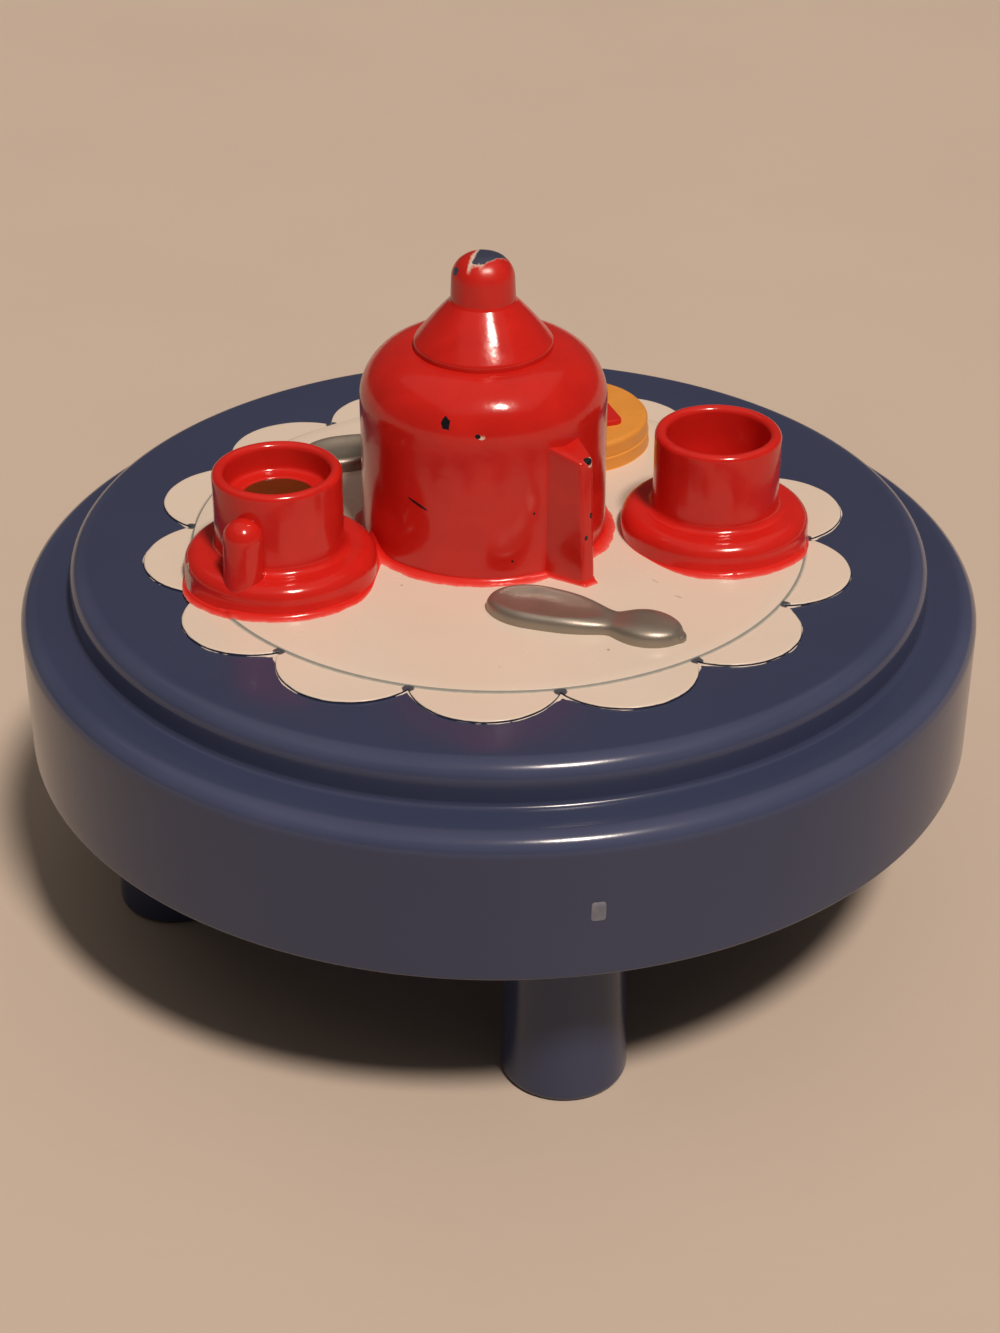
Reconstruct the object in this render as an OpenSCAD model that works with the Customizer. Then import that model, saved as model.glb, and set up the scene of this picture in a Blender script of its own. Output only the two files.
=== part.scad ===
// Toy tea table: a round stepped table on four legs, set with a scalloped doily,
// a teapot, two cups on saucers, two spoons and a jam biscuit.
// Millimetres, +Z up. The origin is on the floor under the middle of the table,
// and the legs stand on the X and Y axes.

/* [Table] */
// Height of the table top above the floor
table_h = 30; // [26:0.5:40]
// Diameter of the apron, the widest part of the table
apron_d = 72; // [66:0.5:84]
// Height of the apron's upright side
apron_h = 11.3; // [9:0.1:14]
// Width of the shoulder between the raised disc and the apron's side
shoulder_w = 3.85; // [3:0.05:5]
// Height of the raised disc above the shoulder
step_h = 3.2; // [2.6:0.1:4]
// Radius of the rounded edges of the disc and the shoulder
edge_r = 1.45; // [0.8:0.05:2]
// Radius of the cove where the step meets the shoulder
cove_r = 0.45; // [0.2:0.05:0.8]
// Thickness of the moulded walls
wall_t = 2; // [1.6:0.1:2.4]

/* [Legs] */
// Diameter of a leg at the floor
foot_d = 9.2; // [7:0.1:9.6]
// Diameter of a leg where it meets its boss
leg_top_d = 7.9; // [6.5:0.1:9.5]
// Distance of a leg's axis from the outside of the apron
leg_inset = 10; // [8:0.1:14]
// Length of the boss that takes a leg
boss_l = 8; // [6.5:0.1:10]
// Diameter of the spigot on top of a leg
spigot_d = 4.4; // [3:0.1:5.5]
// Length of the spigot on top of a leg
spigot_l = 6; // [4:0.1:6.3]
// Thickness of the rib between a boss and the apron
rib_t = 1.2; // [0.8:0.1:2]

/* [Doily] */
// Width of the plain border between the doily and the disc's edge
doily_border = 5.6; // [3:0.05:7]
// Thickness of the doily's middle
doily_t = 0.35; // [0.3:0.01:0.8]
// Number of scallops
scallop_n = 14; // [10:1:20]
// Thickness of the scallops, which lie lower than the doily's middle
lobe_t = 0.2; // [0.15:0.01:0.28]

/* [Teapot] */
// Diameter of the teapot's body
pot_d = 18.2; // [16:0.1:20]
// Height of the teapot's body
pot_h = 14.7; // [12:0.1:18]
// Diameter of the lid
lid_d = 10.2; // [8:0.1:11]
// Height of the lid, without its knob
lid_h = 3.5; // [2.5:0.1:5]
// Height of the upright lip round the lid
lid_lip_h = 0.45; // [0.2:0.05:1]
// Rounding between the lid's lip and its cone
lid_edge_r = 0.4; // [0.1:0.05:0.45]
// Diameter of the knob
knob_d = 4.7; // [3.8:0.1:5.6]
// Height of the knob
knob_h = 3.5; // [3:0.1:5]
// Width of the spout where it leaves the body
spout_w = 2.7; // [2.4:0.1:5]
// Width of the spout's blunt nose
spout_nose_w = 0.7; // [0.4:0.1:1.2]
// How far the spout's nose stands out of the body at the top
spout_reach = 2.4; // [1.2:0.1:2.8]
// How much further the spout's nose stands out at the table
spout_flare = 0.5; // [0:0.1:1]
// Height of the spout's top where it meets the body
spout_h = 10.2; // [7:0.1:10.8]
// Fall of the spout's top face from the body to the nose
spout_fall = 0.6; // [0.2:0.1:1.5]
// Diameter of the teapot's rib handle
pot_handle_d = 3.4; // [2.6:0.1:4]
// Height of the teapot's rib handle
pot_handle_h = 9.8; // [7:0.1:11]

/* [Cups] */
// Outside diameter of a cup
cup_d = 9.4; // [8.6:0.05:10]
// Height of a cup above its saucer
cup_h = 6.15; // [5:0.05:8]
// Wall of a cup
cup_wall = 0.9; // [0.7:0.05:1.1]
// Thickness of the floor of the empty cup
cup_floor = 1; // [0.8:0.1:1.4]
// Radius of the cove round the foot of a cup
cup_cove_r = 0.5; // [0.2:0.05:0.7]
// Diameter of a saucer
saucer_d = 14; // [12.6:0.1:15]
// Height of a saucer
saucer_h = 2.05; // [1.8:0.05:3]
// Radius of the rounded edge of a saucer
saucer_edge_r = 1.1; // [0.5:0.05:1.3]
// Diameter of a cup's rib handle
cup_handle_d = 2.9; // [2.2:0.1:3.2]
// Height of a cup's rib handle above the saucer
cup_handle_h = 4.4; // [3.4:0.1:4.8]
// Depth of the tea below the rim
tea_depth = 2.1; // [1.6:0.1:3]
// Diameter of the tea
tea_d = 5.7; // [4.5:0.1:6.2]
// Thickness of the tea
tea_t = 0.8; // [0.5:0.1:1.2]

/* [Spoons] */
// Length of a spoon
spoon_l = 14.75; // [13:0.05:16]
// Length of the round end of a spoon's bowl, were it a full oval
bowl_l = 7; // [6:0.1:7.6]
// Length of the bowl's taper, from its widest place towards the handle
bowl_taper_l = 5.8; // [4.5:0.1:6.4]
// Width of a spoon's bowl
bowl_w = 4.9; // [4:0.1:5.4]
// Height of a spoon's bowl
bowl_h = 1.25; // [0.8:0.05:1.4]
// Depth of the hollow in the bowl
bowl_depth = 0.65; // [0.3:0.05:0.7]
// Width of the rim round that hollow
bowl_rim = 0.5; // [0.3:0.05:0.7]
// Width of the neck
neck_w = 2.7; // [1.8:0.1:3]
// Height of the neck
neck_h = 0.9; // [0.5:0.05:1]
// Length of the bulb at the handle's end
bulb_l = 5.8; // [5:0.1:7]
// Width of that bulb
bulb_w = 3.2; // [2.6:0.1:3.6]
// Height of that bulb
bulb_h = 1.35; // [0.8:0.05:1.5]

/* [Biscuit] */
// Diameter of the biscuit
biscuit_d = 13.4; // [12:0.1:14]
// Height of the biscuit
biscuit_h = 2.3; // [1.4:0.05:2.6]
// Radius of the biscuit's rounded edge
biscuit_edge_r = 0.4; // [0.3:0.05:1]
// Side of the jam square
jam_side = 7.4; // [5:0.1:7.6]
// Radius of the jam's corners
jam_corner_r = 0.7; // [0.3:0.05:1.2]
// Depth of the jam's recess in the biscuit
jam_sunk = 0.6; // [0.3:0.05:0.9]
// How far the jam stands above the biscuit
jam_proud = 0.4; // [0.2:0.05:0.8]

/* [Places] */
// Doily's middle, to the right of the table's
doily_x = -0.1; // [-0.6:0.1:0.6]
// Doily's middle, behind the table's
doily_y = -0.5; // [-0.6:0.1:0.6]
// Teapot's axis, to the right of the middle
pot_x = -1; // [-3:0.1:3]
// Teapot's axis, behind the middle
pot_y = 0.7; // [-3:0.1:3]
// Direction of the spout from the teapot's axis, in degrees
spout_angle = -60.8; // [-75:0.1:-50]
// Direction of the teapot's handle from its axis, in degrees
pot_handle_angle = 119.2; // [116:0.1:124]
// Direction of the left saucer from the teapot's axis, in degrees
left_place_angle = -165.4; // [-175:0.1:-155]
// Gap between the teapot and the left saucer
left_gap = 0.18; // [0.1:0.01:2]
// Direction of the right saucer from the teapot's axis, in degrees
right_place_angle = -12.7; // [-25:0.1:5]
// Gap between the teapot and the right saucer
right_gap = 1.2; // [0.2:0.05:2]
// Direction of the left cup's handle, in degrees
left_handle_angle = -125; // [-180:0.1:-90]
// Direction of the right cup's handle, in degrees
right_handle_angle = 76; // [20:0.1:110]
// Direction of the front spoon's bowl from the teapot's axis, in degrees
front_spoon_angle = -85.1; // [-92:0.1:-80]
// Distance of the front spoon's bowl from the teapot's body
front_spoon_gap = 4.65; // [3.6:0.05:6]
// Lie of the front spoon from bowl to handle, in degrees
front_spoon_lie_angle = -29.5; // [-40:0.1:-20]
// Direction of the back spoon's bowl from the teapot's axis, in degrees
back_spoon_angle = 125.2; // [124.6:0.1:127]
// Distance of the back spoon's bowl from the teapot's body
back_spoon_gap = 6.8; // [6.6:0.05:9]
// Lie of the back spoon from bowl to handle, in degrees
back_spoon_lie_angle = 9; // [6:0.1:14]
// Direction of the biscuit from the teapot's axis, in degrees
biscuit_angle = 56.5; // [42:0.1:57]
// Gap between the teapot and the biscuit
biscuit_gap = 0.5; // [0.3:0.05:2]
// Direction of a corner of the jam, in degrees
jam_angle = -37; // [-45:1:45]

/* [Hidden] */

// Facets of true rounds
$fn = 96;

// Clearance round glued pegs, spigots and rib handles
fit_gap = 0.05;
// Extra length of every cut past the face that it opens
cut_over = 0.5;

// Table
apron_r = apron_d / 2;
disc_r = apron_r - shoulder_w;
shoulder_z = table_h - step_h;
apron_z = shoulder_z - apron_h;
ceiling_z = table_h - wall_t;
boss_z = ceiling_z - boss_l;
leg_ring_r = apron_r - leg_inset;
foot_edge = 0.4;
rib_lift = 2.5;
gate_w = 1;
gate_h = 1.5;
gate_depth = 0.25;
gate_rise = 5.4;
// Pegs under the tea things go this share of the way through the table's wall
peg_depth_share = 0.7;
peg_l = wall_t * peg_depth_share;
// Height to which a peg is rooted in its own piece
peg_root = 0.3;

// Doily
doily_r = disc_r - doily_border;
doily_z = table_h;
set_z = doily_z + doily_t;
scallop_angle = 360 / scallop_n;
scallop_share = 0.448;
scallop_r = 2 * PI * doily_r / scallop_n * scallop_share;
scallop_ring_r = doily_r - scallop_r;
notch_r = scallop_ring_r * cos(scallop_angle / 2)
  + sqrt(pow(scallop_r, 2) - pow(scallop_ring_r * sin(scallop_angle / 2), 2));
middle_inset = 0.3;
middle_r = notch_r - middle_inset;

// Teapot
pot_r = pot_d / 2;
lid_r = lid_d / 2;
lid_margin = 0.1;
pot_shoulder_r = pot_r - lid_r - lid_margin;
pot_peg_d = 6;
lid_z = set_z + pot_h;
lid_spigot_d = 5;
lid_spigot_l = 1.5;
lid_top_r = knob_d / 2 + lid_margin;
lid_cone_angle = atan2(lid_r - lid_top_r, lid_h - lid_lip_h);
lid_edge_z = lid_lip_h - lid_edge_r * tan(lid_cone_angle / 2);
knob_z = lid_z + lid_h;
knob_share = 0.84;
knob_round_r = knob_d / 2 * knob_share;
knob_pin_d = 2;
knob_pin_l = 1.5;
spout_lean_angle = atan(spout_flare / spout_h);
spout_slope_angle = atan(spout_fall / spout_reach);
pot_handle_stand_share = 0.3;
pot_handle_lean_angle = 5;

// Cups and saucers
cup_r = cup_d / 2;
cup_bore_r = cup_r - cup_wall;
saucer_r = saucer_d / 2;
saucer_peg_d = 5;
cup_z = set_z + saucer_h;
rim_z = cup_z + cup_h;
cup_spigot_d = 4;
cup_spigot_l = 0.8;
cup_handle_stand_share = 0.16;
cup_handle_lean_angle = 4;

// Spoons and biscuit
spoon_peg_d = 1.2;
spoon_rings = 26;
spoon_sides = 18;
// Powers that blend the spoon's parts and round its ends and sides
blend_power = 4;
end_round_share = 0.5;
side_round_share = 0.55;
biscuit_r = biscuit_d / 2;
biscuit_peg_d = 4;
biscuit_z = set_z + biscuit_h;
jam_t = jam_sunk + jam_proud;

// Places on the table top
doily_at = [doily_x, doily_y];
pot_at = [pot_x, pot_y];
left_at = from_pot(left_place_angle, left_gap + saucer_r);
right_at = from_pot(right_place_angle, right_gap + saucer_r);
front_spoon_at = from_pot(front_spoon_angle, front_spoon_gap);
back_spoon_at = from_pot(back_spoon_angle, back_spoon_gap);
biscuit_at = from_pot(biscuit_angle, biscuit_gap + biscuit_r);
// Middle of a spoon's bulb, and the places of its pegs, from the widest place of its bowl
bulb_x = spoon_l - bowl_l / 2 - bulb_l / 2;
spoon_pegs = [0, bulb_x];

// Colours
table_blue = "#464a62";
doily_cream = "#e6d8c8";
paint_red = "#c8261f";
paint_silver = "#8d8678";
tea_brown = "#4a2412";
biscuit_gold = "#d9982e";

// A unit vector in the table's plane
function heading(turn) = [cos(turn), sin(turn)];

// A place at a distance from the teapot's body
function from_pot(turn, gap) = pot_at + (pot_r + gap) * heading(turn);

// Half outline of a round plate whose upper edge is rounded
module plate_outline(r, h, round_r) {
  square([r, h - round_r]);
  square([r - round_r, h]);
  translate([r - round_r, h - round_r]) intersection() {
    circle(round_r);
    square(round_r);
  }
}

// Half outline of the cove in the corner between a wall at r and the plane z = 0
module cove_outline(r, round_r) {
  difference() {
    translate([r - round_r, 0]) square(2 * [round_r, round_r / 2]);
    translate([r + round_r, round_r]) circle(round_r);
  }
}

// Upright peg that hangs below z = 0, rooted in the piece above
module peg(d, l) {
  translate([0, 0, -l]) cylinder(d = d, h = l + peg_root);
}

// Hole below z = 0 that takes such a peg
module peg_hole(d, l) {
  translate([0, 0, -l]) cylinder(d = d + 2 * fit_gap, h = l + cut_over);
}

// Puts its children at a place in the table's plane, at a height, turned
module put(at, z, turn = 0) {
  translate([at.x, at.y, z]) rotate(turn) children();
}

// Holes for the pegs of all the tea things, below z = 0
module set_holes(l) {
  put(pot_at, 0) peg_hole(pot_peg_d, l);
  put(left_at, 0) peg_hole(saucer_peg_d, l);
  put(right_at, 0) peg_hole(saucer_peg_d, l);
  put(biscuit_at, 0) peg_hole(biscuit_peg_d, l);
  put(front_spoon_at, 0, front_spoon_lie_angle) spoon_peg_holes(l);
  put(back_spoon_at, 0, back_spoon_lie_angle) spoon_peg_holes(l);
}

module spoon_peg_holes(l) {
  for (along = spoon_pegs) translate([along, 0, 0]) peg_hole(spoon_peg_d, l);
}

// Section of the hollow table: raised disc, cove, shoulder and apron
module table_outline() {
  difference() {
    union() {
      translate([0, apron_z]) plate_outline(apron_r, shoulder_z - apron_z, edge_r);
      translate([0, shoulder_z]) plate_outline(disc_r, step_h, edge_r);
      translate([0, shoulder_z]) cove_outline(disc_r, cove_r);
    }
    translate([0, apron_z - cut_over]) {
      square([apron_r - wall_t, shoulder_z - wall_t - apron_z + cut_over]);
      square([disc_r - wall_t, ceiling_z - apron_z + cut_over]);
    }
  }
}

// Boss for a leg, with the rib that ties it to the apron
module leg_boss() {
  rib_z = apron_z + rib_lift;
  translate([leg_ring_r, 0, boss_z]) cylinder(d = leg_top_d, h = boss_l + wall_t / 2);
  translate([leg_ring_r, -rib_t / 2, max(rib_z, boss_z)])
    cube([leg_inset - wall_t / 2, rib_t, shoulder_z - wall_t / 2 - max(rib_z, boss_z)]);
}

module table_top() {
  color(table_blue)
  difference() {
    union() {
      rotate_extrude() table_outline();
      for (turn = [0 : 90 : 270]) rotate(turn) leg_boss();
    }
    for (turn = [0 : 90 : 270])
      rotate(turn) translate([leg_ring_r, 0, boss_z - cut_over])
        cylinder(d = spigot_d + 2 * fit_gap, h = spigot_l + fit_gap + cut_over);
    translate([0, 0, table_h]) set_holes(peg_l);
    // Sunk scar of the moulding gate on the apron's front
    translate([-gate_w / 2, -apron_r - cut_over, apron_z + gate_rise - gate_h / 2])
      cube([gate_w, gate_depth + cut_over, gate_h]);
  }
}

// Leg that widens towards the floor, with a spigot that enters its boss
module leg(turn) {
  color(table_blue)
  rotate(turn) translate([leg_ring_r, 0, 0]) {
    rotate_extrude() polygon([
      [0, 0],
      [foot_d / 2 - foot_edge, 0],
      [foot_d / 2, foot_edge],
      [leg_top_d / 2, boss_z],
      [spigot_d / 2, boss_z],
      [spigot_d / 2, boss_z + spigot_l],
      [0, boss_z + spigot_l]
    ]);
  }
}

// Round doily whose scallops are a step lower than its middle
module doily() {
  color(doily_cream)
  translate([0, 0, doily_z])
  difference() {
    put(doily_at, 0) {
      cylinder(r = middle_r, h = doily_t);
      linear_extrude(lobe_t)
        for (i = [0 : scallop_n - 1])
          rotate(i * scallop_angle) translate([scallop_ring_r, 0]) circle(scallop_r);
    }
    translate([0, 0, doily_t]) set_holes(doily_t + cut_over);
  }
}

module teapot_body() {
  color(paint_red)
  put(pot_at, set_z) {
    difference() {
      rotate_extrude() plate_outline(pot_r, pot_h, pot_shoulder_r);
      translate([0, 0, pot_h]) peg_hole(lid_spigot_d, lid_spigot_l + fit_gap);
    }
    peg(pot_peg_d, doily_t + peg_l);
  }
}

// Conical lid that rounds over into an upright lip, and a socket for the knob
module teapot_lid() {
  color(paint_red)
  put(pot_at, lid_z) {
    difference() {
      rotate_extrude() {
        polygon([
          [0, 0],
          [lid_r, 0],
          [lid_r, lid_edge_z],
          [lid_r - lid_edge_r * (1 - cos(lid_cone_angle)), lid_edge_z + lid_edge_r * sin(lid_cone_angle)],
          [lid_top_r, lid_h],
          [0, lid_h]
        ]);
        translate([lid_r - lid_edge_r, lid_edge_z]) intersection() {
          circle(lid_edge_r);
          square(lid_edge_r);
        }
      }
      translate([0, 0, lid_h]) peg_hole(knob_pin_d, knob_pin_l + fit_gap);
    }
    peg(lid_spigot_d, lid_spigot_l);
  }
}

module lid_knob() {
  color(paint_red)
  put(pot_at, knob_z) {
    rotate_extrude() plate_outline(knob_d / 2, knob_h, knob_round_r);
    peg(knob_pin_d, knob_pin_l);
  }
}

// Upright wedge of a spout with a blunt nose and a falling top, further out at the table
module teapot_spout() {
  tip_r = pot_r + spout_reach;
  nose = spout_nose_w / 2;
  color(paint_red)
  put(pot_at, set_z, spout_angle)
  difference() {
    translate([tip_r, 0, spout_h]) rotate([0, -spout_lean_angle, 0])
      translate([0, 0, -2 * spout_h]) linear_extrude(3 * spout_h)
        polygon([
          [0, nose],
          [-2 * spout_reach, spout_w - nose],
          [-2 * spout_reach, nose - spout_w],
          [0, -nose]
        ]);
    translate([pot_r, 0, spout_h]) rotate([0, spout_slope_angle, 0])
      translate([-pot_r, -pot_r, 0]) cube([pot_d, pot_d, 3 * spout_h]);
    translate([0, -pot_r, -2 * spout_h]) cube([pot_d, pot_d, 2 * spout_h]);
    translate([0, 0, -cut_over]) cylinder(r = pot_r + fit_gap, h = 2 * spout_h);
  }
}

// Half-round rib handle with a domed top, which leans out towards its foot
module rib_handle(d, h, stand, lean) {
  translate([stand, 0, h - d / 2]) rotate([0, -lean, 0]) {
    sphere(d = d);
    translate([0, 0, -2 * h]) cylinder(d = d, h = 2 * h);
  }
}

module teapot_handle() {
  color(paint_red)
  put(pot_at, set_z, pot_handle_angle)
  difference() {
    rib_handle(
      pot_handle_d, pot_handle_h,
      pot_r + pot_handle_d * pot_handle_stand_share, pot_handle_lean_angle
    );
    translate([0, 0, -cut_over]) cylinder(r = pot_r + fit_gap, h = pot_h);
    translate([0, -pot_r, -2 * pot_h]) cube([pot_d, pot_d, 2 * pot_h]);
  }
}

// Plain form of a saucer, grown where something has to clear it
module saucer_form(grow = 0) {
  rotate_extrude() plate_outline(saucer_r + grow, saucer_h + grow, saucer_edge_r + grow);
}

module saucer(at) {
  color(paint_red)
  put(at, set_z) {
    difference() {
      saucer_form();
      translate([0, 0, saucer_h]) peg_hole(cup_spigot_d, cup_spigot_l + fit_gap);
    }
    peg(saucer_peg_d, doily_t + peg_l);
  }
}

// Cup with a full round lip, a cove round its foot and a bore of the given depth
module cup(at, depth) {
  color(paint_red)
  put(at, cup_z) {
    rotate_extrude() difference() {
      union() {
        square([cup_r, cup_h - cup_wall / 2]);
        translate([cup_r - cup_wall / 2, cup_h - cup_wall / 2]) circle(cup_wall / 2);
        cove_outline(cup_r, cup_cove_r);
      }
      translate([0, cup_h - depth]) square([cup_bore_r, depth]);
    }
    peg(cup_spigot_d, cup_spigot_l);
  }
}

// Rib handle on the outside of a cup, standing on the rounded saucer
module cup_handle(at, turn) {
  color(paint_red)
  put(at, set_z, turn)
  difference() {
    intersection() {
      translate([0, 0, saucer_h]) rib_handle(
        cup_handle_d, cup_handle_h,
        cup_r + cup_handle_d * cup_handle_stand_share, cup_handle_lean_angle
      );
      cylinder(r = saucer_r, h = saucer_h + cup_h);
    }
    saucer_form(fit_gap);
    cylinder(r = cup_r + fit_gap, h = saucer_h + cup_h);
    translate([0, 0, saucer_h]) rotate_extrude() cove_outline(cup_r + fit_gap, cup_cove_r);
  }
}

module cup_left() {
  difference() {
    cup(left_at, tea_depth);
    put(left_at, rim_z - tea_depth) peg_hole(tea_d, tea_t);
  }
}

module tea_left() {
  color(tea_brown) put(left_at, rim_z - tea_depth - tea_t) cylinder(d = tea_d, h = tea_t);
}

// How much of an oval's half width is left at a place along its length
function oval_share(x, middle, half) = sqrt(max(0, 1 - pow((x - middle) / half, 2)));

// Several sizes blended so that the largest leads and the corners between them are round
function blend(sizes) = pow([for (s = sizes) pow(s, blend_power)] * [for (s = sizes) 1], 1 / blend_power);

// Length of the bowl on the side of its widest place where x lies
function bowl_side_l(x) = x < 0 ? bowl_l / 2 : bowl_taper_l;

// Half width and height of a spoon at a place along it, from the widest place of its bowl
function spoon_half_w(x) = blend([
  bowl_w / 2 * oval_share(x, 0, bowl_side_l(x)),
  x > 0 && x < bulb_x ? neck_w / 2 : 0,
  bulb_w / 2 * oval_share(x, bulb_x, bulb_l / 2)
]);
function spoon_top(x) = blend([
  bowl_h * pow(oval_share(x, 0, bowl_side_l(x)), end_round_share),
  x > 0 && x < bulb_x ? neck_h : 0,
  bulb_h * pow(oval_share(x, bulb_x, bulb_l / 2), end_round_share)
]);

// Depth of the bowl's dish at a place in the spoon's plane
function spoon_dish(x, y) = bowl_depth * max(0,
  1 - pow(x / (bowl_side_l(x) - bowl_rim), 2) - pow(y / (bowl_w / 2 - bowl_rim), 2));

// Section of a spoon, from one side over the top to the other
function spoon_ring(x) = let (w = spoon_half_w(x), h = spoon_top(x)) [
  for (j = [0 : spoon_sides])
    let (t = 180 * j / spoon_sides, y = w * sign(cos(t)) * pow(abs(cos(t)), side_round_share))
      [x, y, h * pow(abs(sin(t)), side_round_share) - spoon_dish(x, y)]
];

// Spoon along +X from the widest place of its bowl, lofted through its sections
module spoon_form() {
  ring_n = spoon_sides + 1;
  places = [
    for (i = [1 : spoon_rings])
      spoon_l / 2 * (1 - cos(180 * i / (spoon_rings + 1))) - bowl_l / 2
  ];
  points = concat(
    [[-bowl_l / 2, 0, 0], [spoon_l - bowl_l / 2, 0, 0]],
    [for (x = places) each spoon_ring(x)]
  );
  last = 2 + (spoon_rings - 1) * ring_n;
  faces = concat(
    [for (j = [0 : spoon_sides]) [0, 2 + j, 2 + (j + 1) % ring_n]],
    [for (j = [0 : spoon_sides]) [last + j, 1, last + (j + 1) % ring_n]],
    [
      for (i = [0 : spoon_rings - 2], j = [0 : spoon_sides])
        let (a = 2 + i * ring_n + j, d = 2 + i * ring_n + (j + 1) % ring_n)
          each [[a, a + ring_n, d + ring_n], [a, d + ring_n, d]]
    ]
  );
  polyhedron(points, faces);
}

module spoon(at, lie_angle) {
  color(paint_silver)
  put(at, set_z, lie_angle) {
    spoon_form();
    for (along = spoon_pegs) translate([along, 0, 0]) peg(spoon_peg_d, doily_t + peg_l);
  }
}

// Square of jam with round corners, grown for its recess
module jam_outline(grow = 0) {
  inner = jam_side - 2 * jam_corner_r;
  full = jam_side + 2 * grow;
  rotate(jam_angle + 45) {
    square([full, inner], center = true);
    square([inner, full], center = true);
    for (x = [-inner / 2, inner / 2], y = [-inner / 2, inner / 2])
      translate([x, y]) circle(jam_corner_r + grow);
  }
}

module biscuit() {
  color(biscuit_gold)
  put(biscuit_at, set_z) {
    difference() {
      rotate_extrude() plate_outline(biscuit_r, biscuit_h, biscuit_edge_r);
      translate([0, 0, biscuit_h - jam_sunk])
        linear_extrude(jam_sunk + cut_over) jam_outline(fit_gap);
    }
    peg(biscuit_peg_d, doily_t + peg_l);
  }
}

module biscuit_jam() {
  color(paint_red)
  put(biscuit_at, biscuit_z - jam_sunk) linear_extrude(jam_t) jam_outline();
}

table_top();
leg(-90);  // leg_front
leg(0);  // leg_right
leg(90);  // leg_back
leg(180);  // leg_left
doily();
teapot_body();
teapot_lid();
lid_knob();
teapot_spout();
teapot_handle();
saucer(left_at);  // saucer_left
cup_left();
cup_handle(left_at, left_handle_angle);  // cup_left_handle
tea_left();
saucer(right_at);  // saucer_right
cup(right_at, cup_h - cup_floor);  // cup_right
cup_handle(right_at, right_handle_angle);  // cup_right_handle
spoon(front_spoon_at, front_spoon_lie_angle);  // spoon_front
spoon(back_spoon_at, back_spoon_lie_angle);  // spoon_back
biscuit();
biscuit_jam();
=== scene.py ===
"""Toy tea table: a slate blue table set with a doily, a teapot, cups, spoons and a biscuit.

Lengths are millimetres until a mesh is made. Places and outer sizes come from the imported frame, and the
smaller sizes are fields of the class that builds the piece.
"""
import logging
from collections.abc import Mapping, Sequence
from dataclasses import dataclass, field
from enum import Enum
from functools import reduce

import bpy
import numpy as np
from mathutils import Euler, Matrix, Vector


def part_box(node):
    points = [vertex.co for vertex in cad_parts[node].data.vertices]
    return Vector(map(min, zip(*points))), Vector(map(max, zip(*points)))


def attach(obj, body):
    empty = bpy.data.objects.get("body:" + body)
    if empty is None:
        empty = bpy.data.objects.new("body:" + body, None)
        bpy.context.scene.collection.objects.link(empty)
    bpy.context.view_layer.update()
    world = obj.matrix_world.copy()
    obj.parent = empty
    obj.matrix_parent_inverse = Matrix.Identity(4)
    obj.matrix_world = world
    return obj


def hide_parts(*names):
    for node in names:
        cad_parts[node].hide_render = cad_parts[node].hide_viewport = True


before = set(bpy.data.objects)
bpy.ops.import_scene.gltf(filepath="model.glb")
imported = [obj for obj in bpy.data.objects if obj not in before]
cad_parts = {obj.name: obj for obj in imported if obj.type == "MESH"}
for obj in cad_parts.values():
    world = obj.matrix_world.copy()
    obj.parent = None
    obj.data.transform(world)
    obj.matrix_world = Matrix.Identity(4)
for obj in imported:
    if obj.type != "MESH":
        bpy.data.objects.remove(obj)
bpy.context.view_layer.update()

log = logging.getLogger("tea_table")
Array = np.ndarray
Socket = bpy.types.NodeSocket
Point = tuple[float, float, float]

MM = 0.001
TURN = 2 * np.pi
BODY = "root"
# Inputs and output of a colour mix
MIX_FACTOR, MIX_A, MIX_B, MIX_RESULT = 0, 6, 7, 2
# The values between which noise mostly lies
NOISE_RANGE = (0.3, 0.7)


# Small helpers

def linear(colour: str) -> tuple[float, float, float, float]:
    """Turns an sRGB hex colour into linear red, green, blue and alpha.

    Args:
        colour: six hex digits after a hash sign.

    Returns:
        The linear colour with full alpha.
    """
    srgb = np.array([int(colour[i:i + 2], 16) for i in (1, 3, 5)]) / 255
    low, high = srgb / 12.92, ((srgb + 0.055) / 1.055) ** 2.4
    return (*np.where(srgb <= 0.04045, low, high).tolist(), 1.0)


def per_mm(size: float) -> float:
    """Gives the texture scale whose features are about this many millimetres across."""
    return 1 / (size * MM)


def heading(degrees: float) -> Array:
    """Gives the unit vector of a direction in the table's plane."""
    return np.array([np.cos(np.radians(degrees)), np.sin(np.radians(degrees))])


def apart(angle: Array, degrees: float) -> Array:
    """Gives how far angles lie from a direction, in degrees from -180 to 180."""
    return (np.degrees(angle) - degrees + 180) % 360 - 180


def bell(angle: Array, degrees: float, width: float) -> Array:
    """Gives a bell curve round a direction, exp(-(d / width)^2) of the distance d in degrees."""
    return np.exp(-(apart(angle, degrees) / width) ** 2)


def smooth(share: Array) -> Array:
    """Eases shares from 0 to 1 in and out, by 3 s^2 - 2 s^3."""
    return share * share * (3 - 2 * share)


def signed_power(value: Array, power: float) -> Array:
    """Raises the size of numbers to a power and keeps their signs."""
    return np.sign(value) * np.abs(value) ** power


def around(radius: Array, angle: Array, height: Array | float) -> Array:
    """Gives the points r cos t, r sin t, h of radii, angles and heights."""
    return np.stack(np.broadcast_arrays(radius * np.cos(angle), radius * np.sin(angle), height), axis=-1)


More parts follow.
